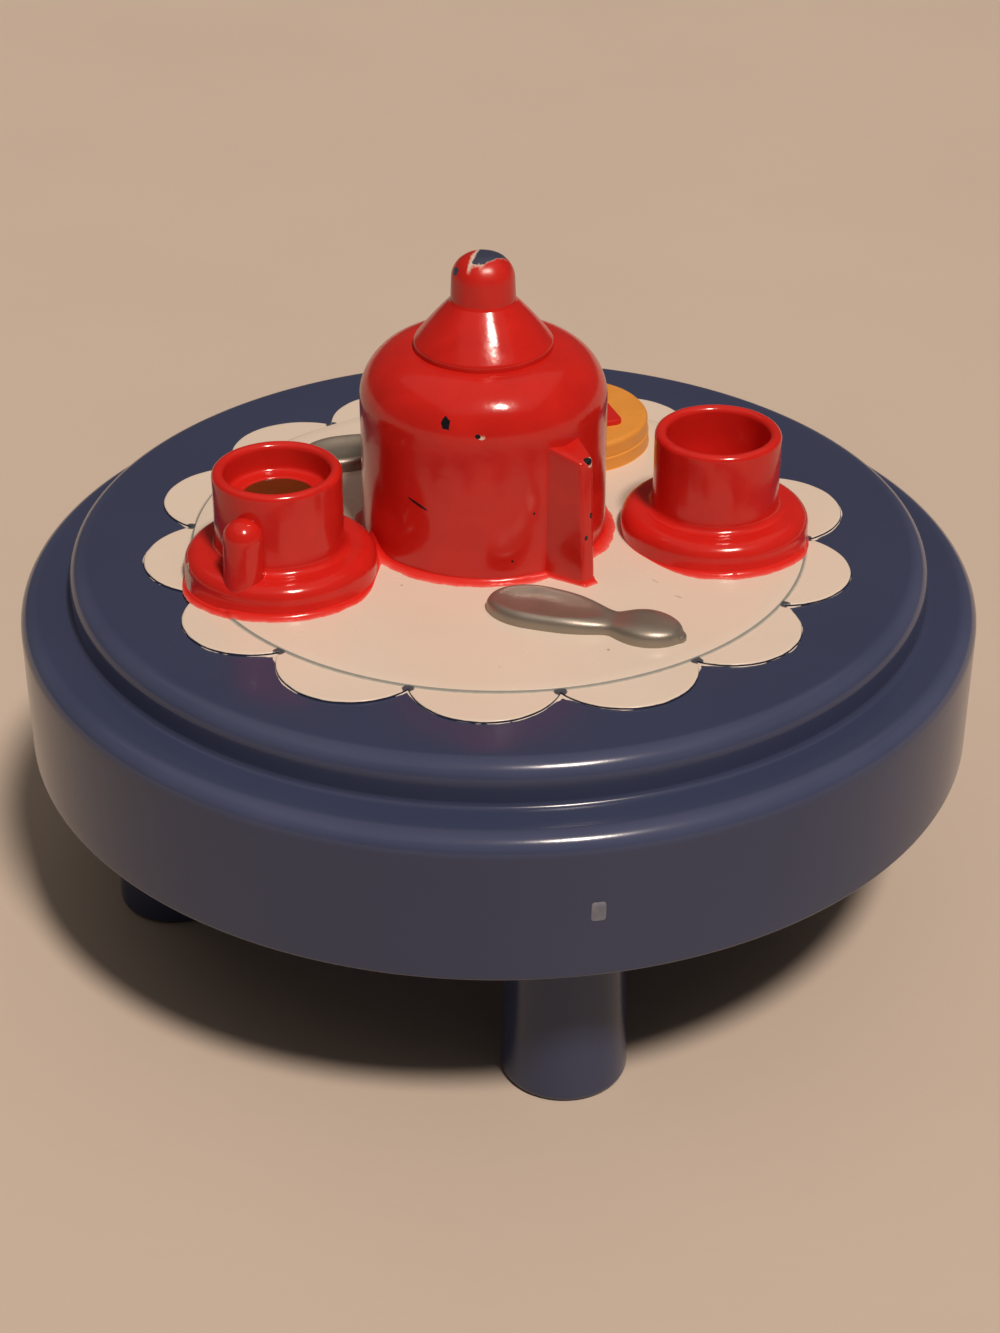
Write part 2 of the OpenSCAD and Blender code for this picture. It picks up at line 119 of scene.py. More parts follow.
def uneven(angle: Array, height: Array | float, seed: float) -> Array:
    """Gives slow waves between about -1 and 1, as on a hand-painted or hand-trimmed edge.

    The sum of three sines round the piece, whose phases drift with height.

    Args:
        angle: angles round the piece, in radians.
        height: heights, in millimetres.
        seed: shifts the waves, so that pieces differ.

    Returns:
        The waves, with the shape of angle and height together.
    """
    return (
        np.sin(2 * angle + 1.3 + seed + 0.21 * height)
        + 0.6 * np.sin(5 * angle + 4.1 * seed - 0.37 * height)
        + 0.5 * np.sin(11 * angle + 0.7 + 2.3 * seed + 0.53 * height)
    ) / 2


@dataclass(frozen=True)
class NodeBox:
    """Box of a CAD node at rest, in millimetres."""

    low: Array
    high: Array

    @classmethod
    def of(cls, node: str) -> "NodeBox":
        """Reads the box of a node from the frame."""
        low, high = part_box(node)
        return cls(np.array(low) / MM, np.array(high) / MM)

    @property
    def axis(self) -> Array:
        """Middle of the box in the table's plane."""
        return ((self.low + self.high) / 2)[:2]

    @property
    def radius(self) -> float:
        """Half the box's width along X."""
        return float(self.high[0] - self.low[0]) / 2

    @property
    def bottom(self) -> float:
        """Lowest height."""
        return float(self.low[2])

    @property
    def top(self) -> float:
        """Highest height."""
        return float(self.high[2])


def box_of(node: str) -> NodeBox:
    """Makes a field that holds the box of a node."""
    return field(default_factory=lambda: NodeBox.of(node))


# Surfaces

@dataclass
class Surface:
    """Points, quads and triangles of a closed mesh, with named numbers at its points."""

    points: Array
    quads: Array
    tris: Array
    marks: dict[str, Array] = field(default_factory=dict)

    def outward(self) -> "Surface":
        """Turns the faces round if the enclosed volume comes out negative.

        Returns:
            The surface itself.
        """
        tris = np.concatenate([self.tris, self.quads[:, [0, 1, 2]], self.quads[:, [0, 2, 3]]])
        corners = self.points[tris]
        volume = np.einsum("ij,ij->i", corners[:, 0], np.cross(corners[:, 1], corners[:, 2])).sum()
        if volume < 0:
            self.quads, self.tris = self.quads[:, ::-1], self.tris[:, ::-1]
        return self

    def moved(self, offset: Sequence[float]) -> "Surface":
        """Gives the surface moved by an offset."""
        return Surface(self.points + np.asarray(offset), self.quads, self.tris, self.marks)

    def turned(self, degrees: float) -> "Surface":
        """Gives the surface turned about the upright axis through the origin.

        Args:
            degrees: the turn, counter-clockwise from above.

        Returns:
            The turned surface.
        """
        c, s = heading(degrees)
        turn = np.array([[c, s, 0], [-s, c, 0], [0, 0, 1]])
        return Surface(self.points @ turn, self.quads, self.tris, self.marks)

    def joined(self, other: "Surface") -> "Surface":
        """Gives both surfaces as one mesh, in which the other's points carry zero marks.

        Args:
            other: the surface to add.

        Returns:
            The joined surface.
        """
        shift, blank = len(self.points), np.zeros(len(other.points))
        return Surface(
            np.concatenate([self.points, other.points]),
            np.concatenate([self.quads, other.quads + shift]),
            np.concatenate([self.tris, other.tris + shift]),
            {name: np.concatenate([values, blank]) for name, values in self.marks.items()},
        )


def ring_surface(
    rings: Array,
    first_pole: Sequence[float] | None = None,
    last_pole: Sequence[float] | None = None,
    loop_rows: bool = False,
    marks: Mapping[str, Array] | None = None,
) -> Surface:
    """Joins rows of closed rings into one surface.

    Point (i, j) of the grid is joined to (i + 1, j) and (i, j + 1), where j wraps round. A pole closes the
    first or the last ring with a fan, and loop_rows joins the last ring to the first.

    Args:
        rings: array of rows by columns by three.
        first_pole: point that closes the first ring.
        last_pole: point that closes the last ring.
        loop_rows: whether the rows close on themselves.
        marks: arrays of rows by columns of numbers that the points carry.

    Returns:
        The surface, with its faces turned outwards.
    """
    rows, columns = rings.shape[:2]
    index = np.arange(rows * columns).reshape(rows, columns)
    beside = np.roll(index, -1, axis=1)
    below, below_beside = np.roll(index, -1, axis=0), np.roll(beside, -1, axis=0)
    last = rows if loop_rows else rows - 1
    quads = np.stack([index, beside, below_beside, below], axis=-1)[:last].reshape(-1, 4)
    points, fans = [rings.reshape(-1, 3)], []
    count = rows * columns
    for pole, row, flip in ((first_pole, 0, True), (last_pole, rows - 1, False)):
        if pole is not None:
            tip = np.full(columns, count)
            pair = (beside[row], index[row]) if flip else (index[row], beside[row])
            fans.append(np.stack([*pair, tip], axis=-1))
            points.append(np.asarray(pole, dtype=float)[None])
            count += 1
    tris = np.concatenate(fans) if fans else np.zeros((0, 3), dtype=int)
    padding = np.zeros(count - rows * columns)
    carried = {name: np.concatenate([grid.ravel(), padding]) for name, grid in (marks or {}).items()}
    return Surface(np.concatenate(points), quads, tris, carried).outward()


def filleted(corners: Sequence[Sequence[float]], arc_steps: int = 10, span: float = 1.2) -> Array:
    """Rounds the corners of an open outline and fills its straight stretches with points.

    At a corner with half angle a and radius r the arc starts r / tan(a) before the corner, and its centre
    lies r / sin(a) along the bisector.

    Args:
        corners: radius, height and fillet radius of each corner.
        arc_steps: steps of each arc.
        span: longest straight step.

    Returns:
        The outline as rows of radius and height.
    """
    place = np.array([corner[:2] for corner in corners], dtype=float)
    path = [place[0]]
    for before, here, after, radius in zip(place, place[1:], place[2:], [c[2] for c in corners[1:]]):
        if radius <= 0:
            path.append(here)
            continue
        back, ahead = before - here, after - here
        back, ahead = back / np.linalg.norm(back), ahead / np.linalg.norm(ahead)
        half = np.arccos(np.clip(back @ ahead, -1, 1)) / 2
        start = here + back * radius / np.tan(half)
        end = here + ahead * radius / np.tan(half)
        bisector = back + ahead
        centre = here + bisector / np.linalg.norm(bisector) * radius / np.sin(half)
        first, last = (np.arctan2(*(point - centre)[::-1]) for point in (start, end))
        sweep = (last - first + np.pi) % TURN - np.pi
        angles = first + sweep * np.linspace(0, 1, arc_steps + 1)
        path.extend(centre + radius * np.stack([np.cos(angles), np.sin(angles)], axis=-1))
    path.append(place[-1])
    steps = [
        np.linspace(a, b, max(1, int(np.ceil(np.linalg.norm(b - a) / span))), endpoint=False)
        for a, b in zip(path, path[1:])
    ]
    return np.concatenate([*steps, path[-1][None]])


def revolved(profile: Array, segments: int = 128, sway: float = 0, seed: float = 0) -> Surface:
    """Turns an outline of radius and height about the upright axis.

    x = r cos t, y = r sin t, z = h, where r grows by sway times slow waves, as on a hand-painted piece.

    Args:
        profile: rows of radius and height; a radius of zero at an end becomes a pole.
        segments: columns round the axis.
        sway: depth of the waves.
        seed: shifts the waves.

    Returns:
        The closed surface round the origin's upright axis.
    """
    poles = [np.array([0, 0, h]) if r < 1e-6 else None for r, h in (profile[0], profile[-1])]
    body = profile[profile[:, 0] >= 1e-6]
    angle = np.linspace(0, TURN, segments, endpoint=False)[None]
    radius, height = body[:, :1], body[:, 1:]
    wavy = radius + sway * uneven(angle, height, seed) * np.minimum(1, radius)
    return ring_surface(
        around(wavy, angle, height), *poles, loop_rows=poles[0] is None and poles[1] is None)


def rib_handle(d: float, height: float, stand: float, lean: float, foot: float) -> Surface:
    """Makes a rounded rib along +X that stands up and leans out towards its foot.

    A capsule: a half sphere over a cylinder, tilted about the sphere's centre, with nothing below foot.

    Args:
        d: the rib's diameter.
        height: height of its top.
        stand: distance of its axis from the origin at the sphere's centre.
        lean: tilt in degrees.
        foot: lowest height.

    Returns:
        The closed surface.
    """
    r = d / 2
    dome = np.linspace(np.pi / 2, 0, 14)
    down = np.linspace(0, -2 * height, 30)[1:]
    profile = np.concatenate([
        np.stack([r * np.cos(dome), r * np.sin(dome)], axis=-1),
        np.stack([r + 0 * down, down], axis=-1),
        [[0, down[-1]]],
    ])
    profile[0, 0] = 0
    rib = revolved(profile, segments=48)
    c, s = heading(lean)
    x, y, z = rib.points.T
    up = np.maximum(x * s + z * c + height - r, foot)
    rib.points = np.stack([x * c - z * s + stand, y, up], axis=-1)
    return rib


def run_section(*fall: float) -> Array:
    """Gives the section of a paint run, as film takes it, which falls through four heights."""
    return np.array([
        [-0.4, 0, 0], [-0.4, 1, 0], [0, 1, 0], [0.12, fall[0], 0],
        [0.3, fall[1], 0.05], [0.6, fall[2], 0.2], [0.88, fall[3], 0.6], [1, 0, 1],
    ])


def film(angle: Array, foot: Array, width: Array, height: Array | float, section: Array) -> Surface:
    """Makes a film of paint that lies round a piece and falls off outwards.

    Args:
        angle: directions of the columns, in radians.
        foot: radius of the piece's foot in each direction.
        width: the film's width in each direction.
        height: its height in each direction.
        section: rows of the share of the width, or a distance inwards where it is negative, the share of
            the height, and how thin the paint is there.

    Returns:
        The closed ring, which carries the mark thin.
    """
    out = section[:, :1]
    radius = foot + np.where(out < 0, out, out * width)
    rings = around(radius, angle, section[:, 1:2] * height)
    return ring_surface(rings, loop_rows=True, marks={"thin": section[:, 2:] + 0 * angle})


# Finishes

def fill(tree: bpy.types.NodeTree, node: bpy.types.Node, inputs: Mapping[str | int, object]) -> None:
    """Sets or links a node's inputs.

    Args:
        tree: the material's node tree.
        node: the node.
        inputs: values, or sockets to link, by input name or number.
    """
    for name, value in inputs.items():
        if isinstance(value, Socket):
            tree.links.new(value, node.inputs[name])
        else:
            node.inputs[name].default_value = value


def add_node(
    tree: bpy.types.NodeTree,
    kind: str,
    inputs: Mapping[str | int, object],
    output: str | int = 0,
    **settings: object,
) -> Socket:
    """Adds a shader node with its settings, values and links.

    Args:
        tree: the material's node tree.
        kind: the node's name, without the ShaderNode that starts it.
        inputs: values, or sockets to link, by input name or number.
        output: name or number of the output that is wanted.
        settings: attributes of the node.

    Returns:
        The output.
    """
    node = tree.nodes.new(f"ShaderNode{kind}")
    for name, value in settings.items():
        setattr(node, name, value)
    fill(tree, node, inputs)
    return node.outputs[output]


def chained(tree: bpy.types.NodeTree, operation: str, values: Sequence[Socket]) -> Socket:
    """Combines any count of values by an operation of two, such as the least of them all."""
    return reduce(lambda one, two: add_node(tree, "Math", {0: one, 1: two}, operation=operation), values)


@dataclass(frozen=True)
class Chip:
    """Place where the paint has come off: an ellipsoid or a prism round a point of the surface.

    Its half sizes lie along the surface, into it and upwards before it leans, tilts and turns. Corners
    make it a prism: they run counter-clockwise round it, along and upwards, in half sizes. The rim is the
    shift of its pale rim, along the same axes in millimetres, or None where it has no rim.
    """

    centre: Point
    half: Point
    turn: float = 0
    tilt: float = 0
    lean: float = 0
    corners: tuple[tuple[float, float], ...] = ()
    rim: Point | None = (0, 0, 0)

    def away(self, tree: bpy.types.NodeTree, coords: Socket, shift: Point = (0, 0, 0)) -> Socket:
        """Makes the distance from the chip, in its own half sizes.

        A prism's distance is the greatest of its planes' distances, each 0 at its centre and 1 on the
        plane.

        Args:
            tree: the material's node tree.
            coords: Object coordinates.
            shift: moves the chip along its own axes.

        Returns:
            The distance, 1 on the chip's border.
        """
        turn = Euler(np.radians([self.lean, self.tilt, self.turn]).tolist())
        local = add_node(tree, "Mapping", {
            "Vector": coords,
            "Location": (Vector(self.centre) + turn.to_matrix() @ Vector(shift)) * MM,
            "Rotation": turn,
            "Scale": Vector(self.half) * MM,
        }, vector_type="TEXTURE")
        if not self.corners:
            return add_node(tree, "VectorMath", {0: local}, "Value", operation="LENGTH")
        place = np.array(self.corners)
        side = np.roll(place, -1, axis=0) - place
        out = np.stack([side[:, 1], -side[:, 0]], axis=-1)
        out /= (out * place).sum(axis=1, keepdims=True)
        planes = [(x, 0.0, z) for x, z in out.tolist()] + [(0.0, 1.0, 0.0), (0.0, -1.0, 0.0)]
        return chained(tree, "MAXIMUM", [
            add_node(tree, "VectorMath", {0: local, 1: plane}, "Value", operation="DOT_PRODUCT")
            for plane in planes
        ])


@dataclass(frozen=True)
class Finish:
    """A material that is built under a name, from patterns that read Object coordinates."""

    name: str

    def start(self) -> tuple[bpy.types.Material, bpy.types.NodeTree, Socket]:
        """Makes an empty material.

        Returns:
            The material, its node tree and its Object coordinates.
        """
        material = bpy.data.materials.new(self.name)
        material.use_nodes = True
        tree = material.node_tree
        return material, tree, add_node(tree, "TexCoord", {}, "Object")

    def done(
        self,
        material: bpy.types.Material,
        ground: str,
        layers: Sequence[tuple[Socket, str]],
        bumps: tuple[Socket, float, float],
        **values: Socket | float,
    ) -> bpy.types.Material:
        """Lays colours over each other, adds bumps and joins all to the shader.

        Args:
            material: the material.
            ground: its lowest colour.
            layers: masks, and the colours that cover what is under them where the masks are 1.
            bumps: pattern of the bumps, their strength and their height in millimetres.
            values: the shader's other values, or sockets to link, by input name.

        Returns:
            The material.
        """
        tree, colour = material.node_tree, linear(ground)
        for mask, tint in layers:
            colour = add_node(tree, "Mix", {
                MIX_FACTOR: mask, MIX_A: colour, MIX_B: linear(tint)}, MIX_RESULT, data_type="RGBA")
        height, strength, tall = bumps
        normal = add_node(tree, "Bump", {"Strength": strength, "Distance": tall * MM, "Height": height})
        fill(tree, tree.nodes["Principled BSDF"], {"Base Color": colour, "Normal": normal, **values})
        return material

    def build(self) -> bpy.types.Material:
        """Builds the material."""
        raise NotImplementedError


@dataclass(frozen=True)
class MouldedPlastic(Finish):
    """Slate blue moulded ABS: satin, faintly cloudy, with a little dust and a painted highlight on its
    edges.

    Two close tones mix by wide noise, a paler tone that a mark on the mesh lays on the two outer edges is
    a painted highlight, scattered dots are dust, and fine noise is the mould's grain.
    """

    light: str = "#3d4562"
    dark: str = "#363e5a"
    # Paler tone laid on the outer edges: a painted highlight
    edge_sheen: str = "#5a6384"
    dust: str = "#b9b2a6"
    cloud_mm: float = 16
    grain_mm: float = 0.45
    dust_mm: float = 5
    dust_reach: tuple[float, float] = (0.016, 0.008)
    dust_cover: float = 0.6
    rough: tuple[float, float] = (0.13, 0.2)
    bump: float = 0.25
    bump_mm: float = 0.01
    ior: float = 1.43

    def build(self) -> bpy.types.Material:
        """Builds the plastic; its points may carry a mark along their edges, where a paler tone is painted
        on as a highlight.

        Returns:
            The material.
        """
        material, tree, coords = self.start()
        cloud, grain = (
            add_node(tree, "TexNoise", {"Vector": coords, "Scale": per_mm(size), "Detail": detail})
            for size, detail in ((self.cloud_mm, 3.0), (self.grain_mm, 2.0))
        )
        # Painted highlight: the edge mark, broken up by the cloud noise, lays the paler tone on the outer
        # edges
        edge_highlight = add_node(tree, "Attribute", {}, "Fac", attribute_name="edge_highlight")
        edge_sheen = add_node(tree, "Math", {0: edge_highlight, 1: cloud}, operation="MULTIPLY")
        speck = add_node(tree, "TexVoronoi", {"Vector": coords, "Scale": per_mm(self.dust_mm)}, "Distance")
        dusty = add_node(tree, "MapRange", {
            "Value": speck, "From Min": self.dust_reach[0], "From Max": self.dust_reach[1],
            "To Max": self.dust_cover})
        rough = add_node(tree, "MapRange", {
            "Value": cloud, "From Min": NOISE_RANGE[0], "From Max": NOISE_RANGE[1],
            "To Min": self.rough[0], "To Max": self.rough[1]})
        layers = ((cloud, self.light), (edge_sheen, self.edge_sheen), (dusty, self.dust))
        return self.done(
            material, self.dark, layers, (grain, self.bump, self.bump_mm), Roughness=rough, IOR=self.ior)


@dataclass(frozen=True)
class RedEnamel(Finish):
    """Brushed-on red gloss enamel: thick and wavy, with chips that show blue plastic inside a pale rim.

    Two reds mix by noise as strokes do, finer noise waves the gloss, and a chip is where the frayed
    distance from its place is small, with a patchy rim just outside.
    """

    light: str = "#d6271e"
    dark: str = "#ba1e18"
    rim: str = "#d9cbb8"
    bare: str = "#14161d"
    chips: tuple[Chip, ...] = ()
    stroke_mm: float = 3.2
    stroke_twist: float = 0.6
    wave_mm: float = 1.0
    ragged_mm: float = 0.45
    ragged_depth: float = 0.5
    patch_mm: float = 0.8
    patch_soft: float = 0.06
    border: tuple[float, float] = (1.28, 1.18)
    rim_reach: float = 1.62
    rim_soft: float = 0.2
    rim_share: float = 0.5
    rim_cover: float = 0.9
    rough: tuple[float, float] = (0.13, 0.2)
    bump: float = 0.4
    bump_mm: float = 0.05
    ior: float = 1.5

    def build(self) -> bpy.types.Material:
        """Builds the enamel.

        Returns:
            The material.
        """
        material, tree, coords = self.start()
        stroke = add_node(tree, "TexNoise", {
            "Vector": coords, "Scale": per_mm(self.stroke_mm), "Detail": 4.0,
            "Distortion": self.stroke_twist})
        height = add_node(tree, "TexNoise", {
            "Vector": coords, "Scale": per_mm(self.wave_mm), "Detail": 2.0})
        layers = [(stroke, self.light)]
        if self.chips:
            layers += self.chip_layers(tree, coords)
            height = add_node(tree, "Math", {0: height, 1: layers[-1][0]}, operation="SUBTRACT")
        rough = add_node(tree, "MapRange", {
            "Value": stroke, "From Min": NOISE_RANGE[0], "From Max": NOISE_RANGE[1],
            "To Min": self.rough[0], "To Max": self.rough[1]})
        return self.done(
            material, self.dark, layers, (height, self.bump, self.bump_mm), Roughness=rough, IOR=self.ior)

    def chip_layers(self, tree: bpy.types.NodeTree, coords: Socket) -> list[tuple[Socket, str]]:
        """Makes the masks and colours of the chips.

        Args:
            tree: the material's node tree.
            coords: Object coordinates.

        Returns:
            The pale rims, where a chip has one, and last the bare plastic.
        """
        layers = []
        ragged = add_node(tree, "TexNoise", {
            "Vector": coords, "Scale": per_mm(self.ragged_mm), "Detail": 2.0})
        rimmed = [(chip, chip.rim) for chip in self.chips if chip.rim is not None]
        if rimmed:
            ring = add_node(tree, "MapRange", {
                "Value": self.near(tree, coords, ragged, rimmed),
                "From Min": self.rim_reach, "From Max": self.rim_reach - self.rim_soft})
            patchy = add_node(tree, "TexNoise", {
                "Vector": coords, "Scale": per_mm(self.patch_mm), "Detail": 2.0})
            least = 1 - self.rim_share
            lifted = add_node(tree, "MapRange", {
                "Value": patchy, "From Min": least - self.patch_soft, "From Max": least + self.patch_soft,
                "To Max": self.rim_cover})
            layers.append((add_node(tree, "Math", {0: ring, 1: lifted}, operation="MULTIPLY"), self.rim))
        gone = add_node(tree, "MapRange", {
            "Value": self.near(tree, coords, ragged, [(chip, (0, 0, 0)) for chip in self.chips]),
            "From Min": self.border[0], "From Max": self.border[1]})
        return [*layers, (gone, self.bare)]

    def near(
        self,
        tree: bpy.types.NodeTree,
        coords: Socket,
        ragged: Socket,
        chips: Sequence[tuple[Chip, Point]],
    ) -> Socket:
        """Makes the least distance to any chip, in the chip's own half sizes, with noise that frays it.

        Args:
            tree: the material's node tree.
            coords: Object coordinates.
            ragged: the noise.
            chips: the chips to measure from, each with its shift.

        Returns:
            The distance, which is about 1.25 on a chip's border.
        """
        least = chained(tree, "MINIMUM", [chip.away(tree, coords, shift) for chip, shift in chips])
        return add_node(
            tree, "Math", {0: ragged, 1: self.ragged_depth, 2: least}, operation="MULTIPLY_ADD")


@dataclass(frozen=True)
class DoilyPaint(Finish):
    """Off-white paint on a raised doily: even satin, thin and grey on its step, worn at edges and notches.

    Two close whites mix by wide noise, scattered dots and listed marks are dirt, and marks on the mesh,
    frayed by fine noise, lay thin, worn and bare tones over it.
    """

    light: str = "#e5d9cb"
    dark: str = "#ddd0c1"
    bare: str = "#232840"
    thin: str = "#8f918c"
    worn: str = "#484e56"
    speck: str = "#7d6a5c"
    cloud_mm: float = 9
    ragged_mm: float = 0.6
    speck_mm: float = 6
    speck_reach: tuple[float, float] = (0.02, 0.01)
    dirt: tuple[Chip, ...] = ()
    dirt_reach: tuple[float, float] = (1.1, 0.7)
    dirt_cover: float = 0.7
    rough: tuple[float, float] = (0.2, 0.32)
    bump: float = 0.3
    bump_mm: float = 0.03

    def build(self) -> bpy.types.Material:
        """Builds the paint; its points carry marks named thin, worn and bare, and dirt lies where listed.

        Returns:
            The material.
        """
        material, tree, coords = self.start()
        cloud, ragged = (
            add_node(tree, "TexNoise", {"Vector": coords, "Scale": per_mm(size), "Detail": 3.0})
            for size in (self.cloud_mm, self.ragged_mm)
        )
        layers = [(cloud, self.light)]
        speck = add_node(
            tree, "TexVoronoi", {"Vector": coords, "Scale": per_mm(self.speck_mm)}, "Distance")
        dirt = chained(tree, "MINIMUM", [mark.away(tree, coords) for mark in self.dirt])
        for near, (low, high) in ((speck, self.speck_reach), (dirt, self.dirt_reach)):
            layers.append((add_node(tree, "MapRange", {
                "Value": near, "From Min": low, "From Max": high, "To Max": self.dirt_cover}), self.speck))
        for name, tint, fray, low, high in (
            ("thin", self.thin, 0.3, 0.4, 1.1),
            ("worn", self.worn, 0.6, 0.72, 0.9),
            ("bare", self.bare, 0.6, 0.72, 0.9),
        ):
            mark = add_node(tree, "Attribute", {}, "Fac", attribute_name=name)
            frayed = add_node(tree, "Math", {0: ragged, 1: fray, 2: mark}, operation="MULTIPLY_ADD")
            layers.append((add_node(tree, "MapRange", {
                "Value": frayed, "From Min": low, "From Max": high}), tint))
        rough = add_node(tree, "MapRange", {
            "Value": cloud, "From Min": NOISE_RANGE[0], "From Max": NOISE_RANGE[1],
            "To Min": self.rough[0], "To Max": self.rough[1]})
        return self.done(material, self.dark, layers, (cloud, self.bump, self.bump_mm), Roughness=rough)


@dataclass(frozen=True)
class PaintRun(Finish):
    """Red enamel that has run onto the doily: a thin film, pinker where a mark thins out its edge."""

    thick: str = "#db2a22"
    thin: str = "#f0a196"
    ragged_mm: float = 0.7
    rough: float = 0.2
    bump: float = 0.4
    bump_mm: float = 0.03

    def build(self) -> bpy.types.Material:
        """Builds the film; its points carry a mark named thin.

        Returns:
            The material.
        """
        material, tree, coords = self.start()
        mark = add_node(tree, "Attribute", {}, "Fac", attribute_name="thin")
        ragged = add_node(tree, "TexNoise", {
            "Vector": coords, "Scale": per_mm(self.ragged_mm), "Detail": 2.0})
        fade = add_node(tree, "Math", {0: mark, 1: ragged}, operation="MULTIPLY")
        bumps = (ragged, self.bump, self.bump_mm)
        return self.done(material, self.thick, [(fade, self.thin)], bumps, Roughness=self.rough)


@dataclass(frozen=True)
class SilverPaint(Finish):
    """Silver paint: a dull metal gloss from fine flakes, drawn as close dots, browner where thin."""

    light: str = "#ada69c"
    dark: str = "#928b81"
    flake_mm: float = 0.12
    flake_reach: float = 0.8
    cloud_mm: float = 2.5
    rough: tuple[float, float] = (0.32, 0.44)
    metal: float = 0.7
    bump: float = 0.25
    bump_mm: float = 0.01

    def build(self) -> bpy.types.Material:
        """Builds the silver paint.

        Returns:
            The material.
        """
        material, tree, coords = self.start()
        cloud = add_node(tree, "TexNoise", {
            "Vector": coords, "Scale": per_mm(self.cloud_mm), "Detail": 3.0})
        flake = add_node(
            tree, "TexVoronoi", {"Vector": coords, "Scale": per_mm(self.flake_mm)}, "Distance")
        rough = add_node(tree, "MapRange", {
            "Value": flake, "From Max": self.flake_reach,
            "To Min": self.rough[0], "To Max": self.rough[1]})
        bumps = (flake, self.bump, self.bump_mm)
        return self.done(
            material, self.dark, [(cloud, self.light)], bumps, Roughness=rough, Metallic=self.metal)


@dataclass(frozen=True)
class MottledPaint(Finish):
    """Plain brushed-on paint: two close tones that mix by noise, over a fine grain."""

    light: str
    dark: str
    mottle_mm: float = 3
    grain_mm: float = 0.5
    rough: float = 0.35
    bump: float = 0.4
    bump_mm: float = 0.03

    def build(self) -> bpy.types.Material:
        """Builds the paint.

        Returns:
            The material.
        """
        material, tree, coords = self.start()
        mottle, grain = (
            add_node(tree, "TexNoise", {"Vector": coords, "Scale": per_mm(size), "Detail": detail})
            for size, detail in ((self.mottle_mm, 4.0), (self.grain_mm, 2.0))
        )
        bumps = (grain, self.bump, self.bump_mm)
        return self.done(material, self.dark, [(mottle, self.light)], bumps, Roughness=self.rough)


# Pieces

def add_piece(
    name: str,
    surface: Surface,
    material: bpy.types.Material,
    slot: str | None = None,
    nodes: Sequence[str] = (),
    sharp: float = 50,
) -> bpy.types.Object:
    """Puts a surface into the scene as a piece that rides on the body.

    Args:
        name: the object's name.
        surface: its mesh, in millimetres.
        material: its finish.
        slot: the name of a material slot, which is only checked against None; None makes a piece of the
            stage, which rides on nothing.
        nodes: CAD nodes that it stands for.
        sharp: angle in degrees above which an edge stays sharp.

    Returns:
        The new object.
    """
    mesh = bpy.data.meshes.new(name)
    mesh.from_pydata((surface.points * MM).tolist(), [], surface.quads.tolist() + surface.tris.tolist())
    for mark, values in surface.marks.items():
        layer = mesh.attributes.new(mark, "FLOAT", "POINT")
        layer.data.foreach_set("value", values.astype(np.float32))
    mesh.shade_smooth()
    mesh.set_sharp_from_angle(angle=np.radians(sharp))
    mesh.materials.append(material)
    piece = bpy.data.objects.new(name, mesh)
    bpy.context.scene.collection.objects.link(piece)
    if slot is not None:
        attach(piece, BODY)
        if nodes:
            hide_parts(*nodes)
    log.info("%s: %d points, stands for %s", name, len(surface.points), ", ".join(nodes) or "itself")
    return piece


class LegPlace(Enum):
    """The four legs, each with its direction in degrees."""

    FRONT = -90
    RIGHT = 0
    BACK = 90
    LEFT = 180

    @property
    def node(self) -> str:
        """Name of the leg's CAD node."""
        return f"leg_{self.name.lower()}"


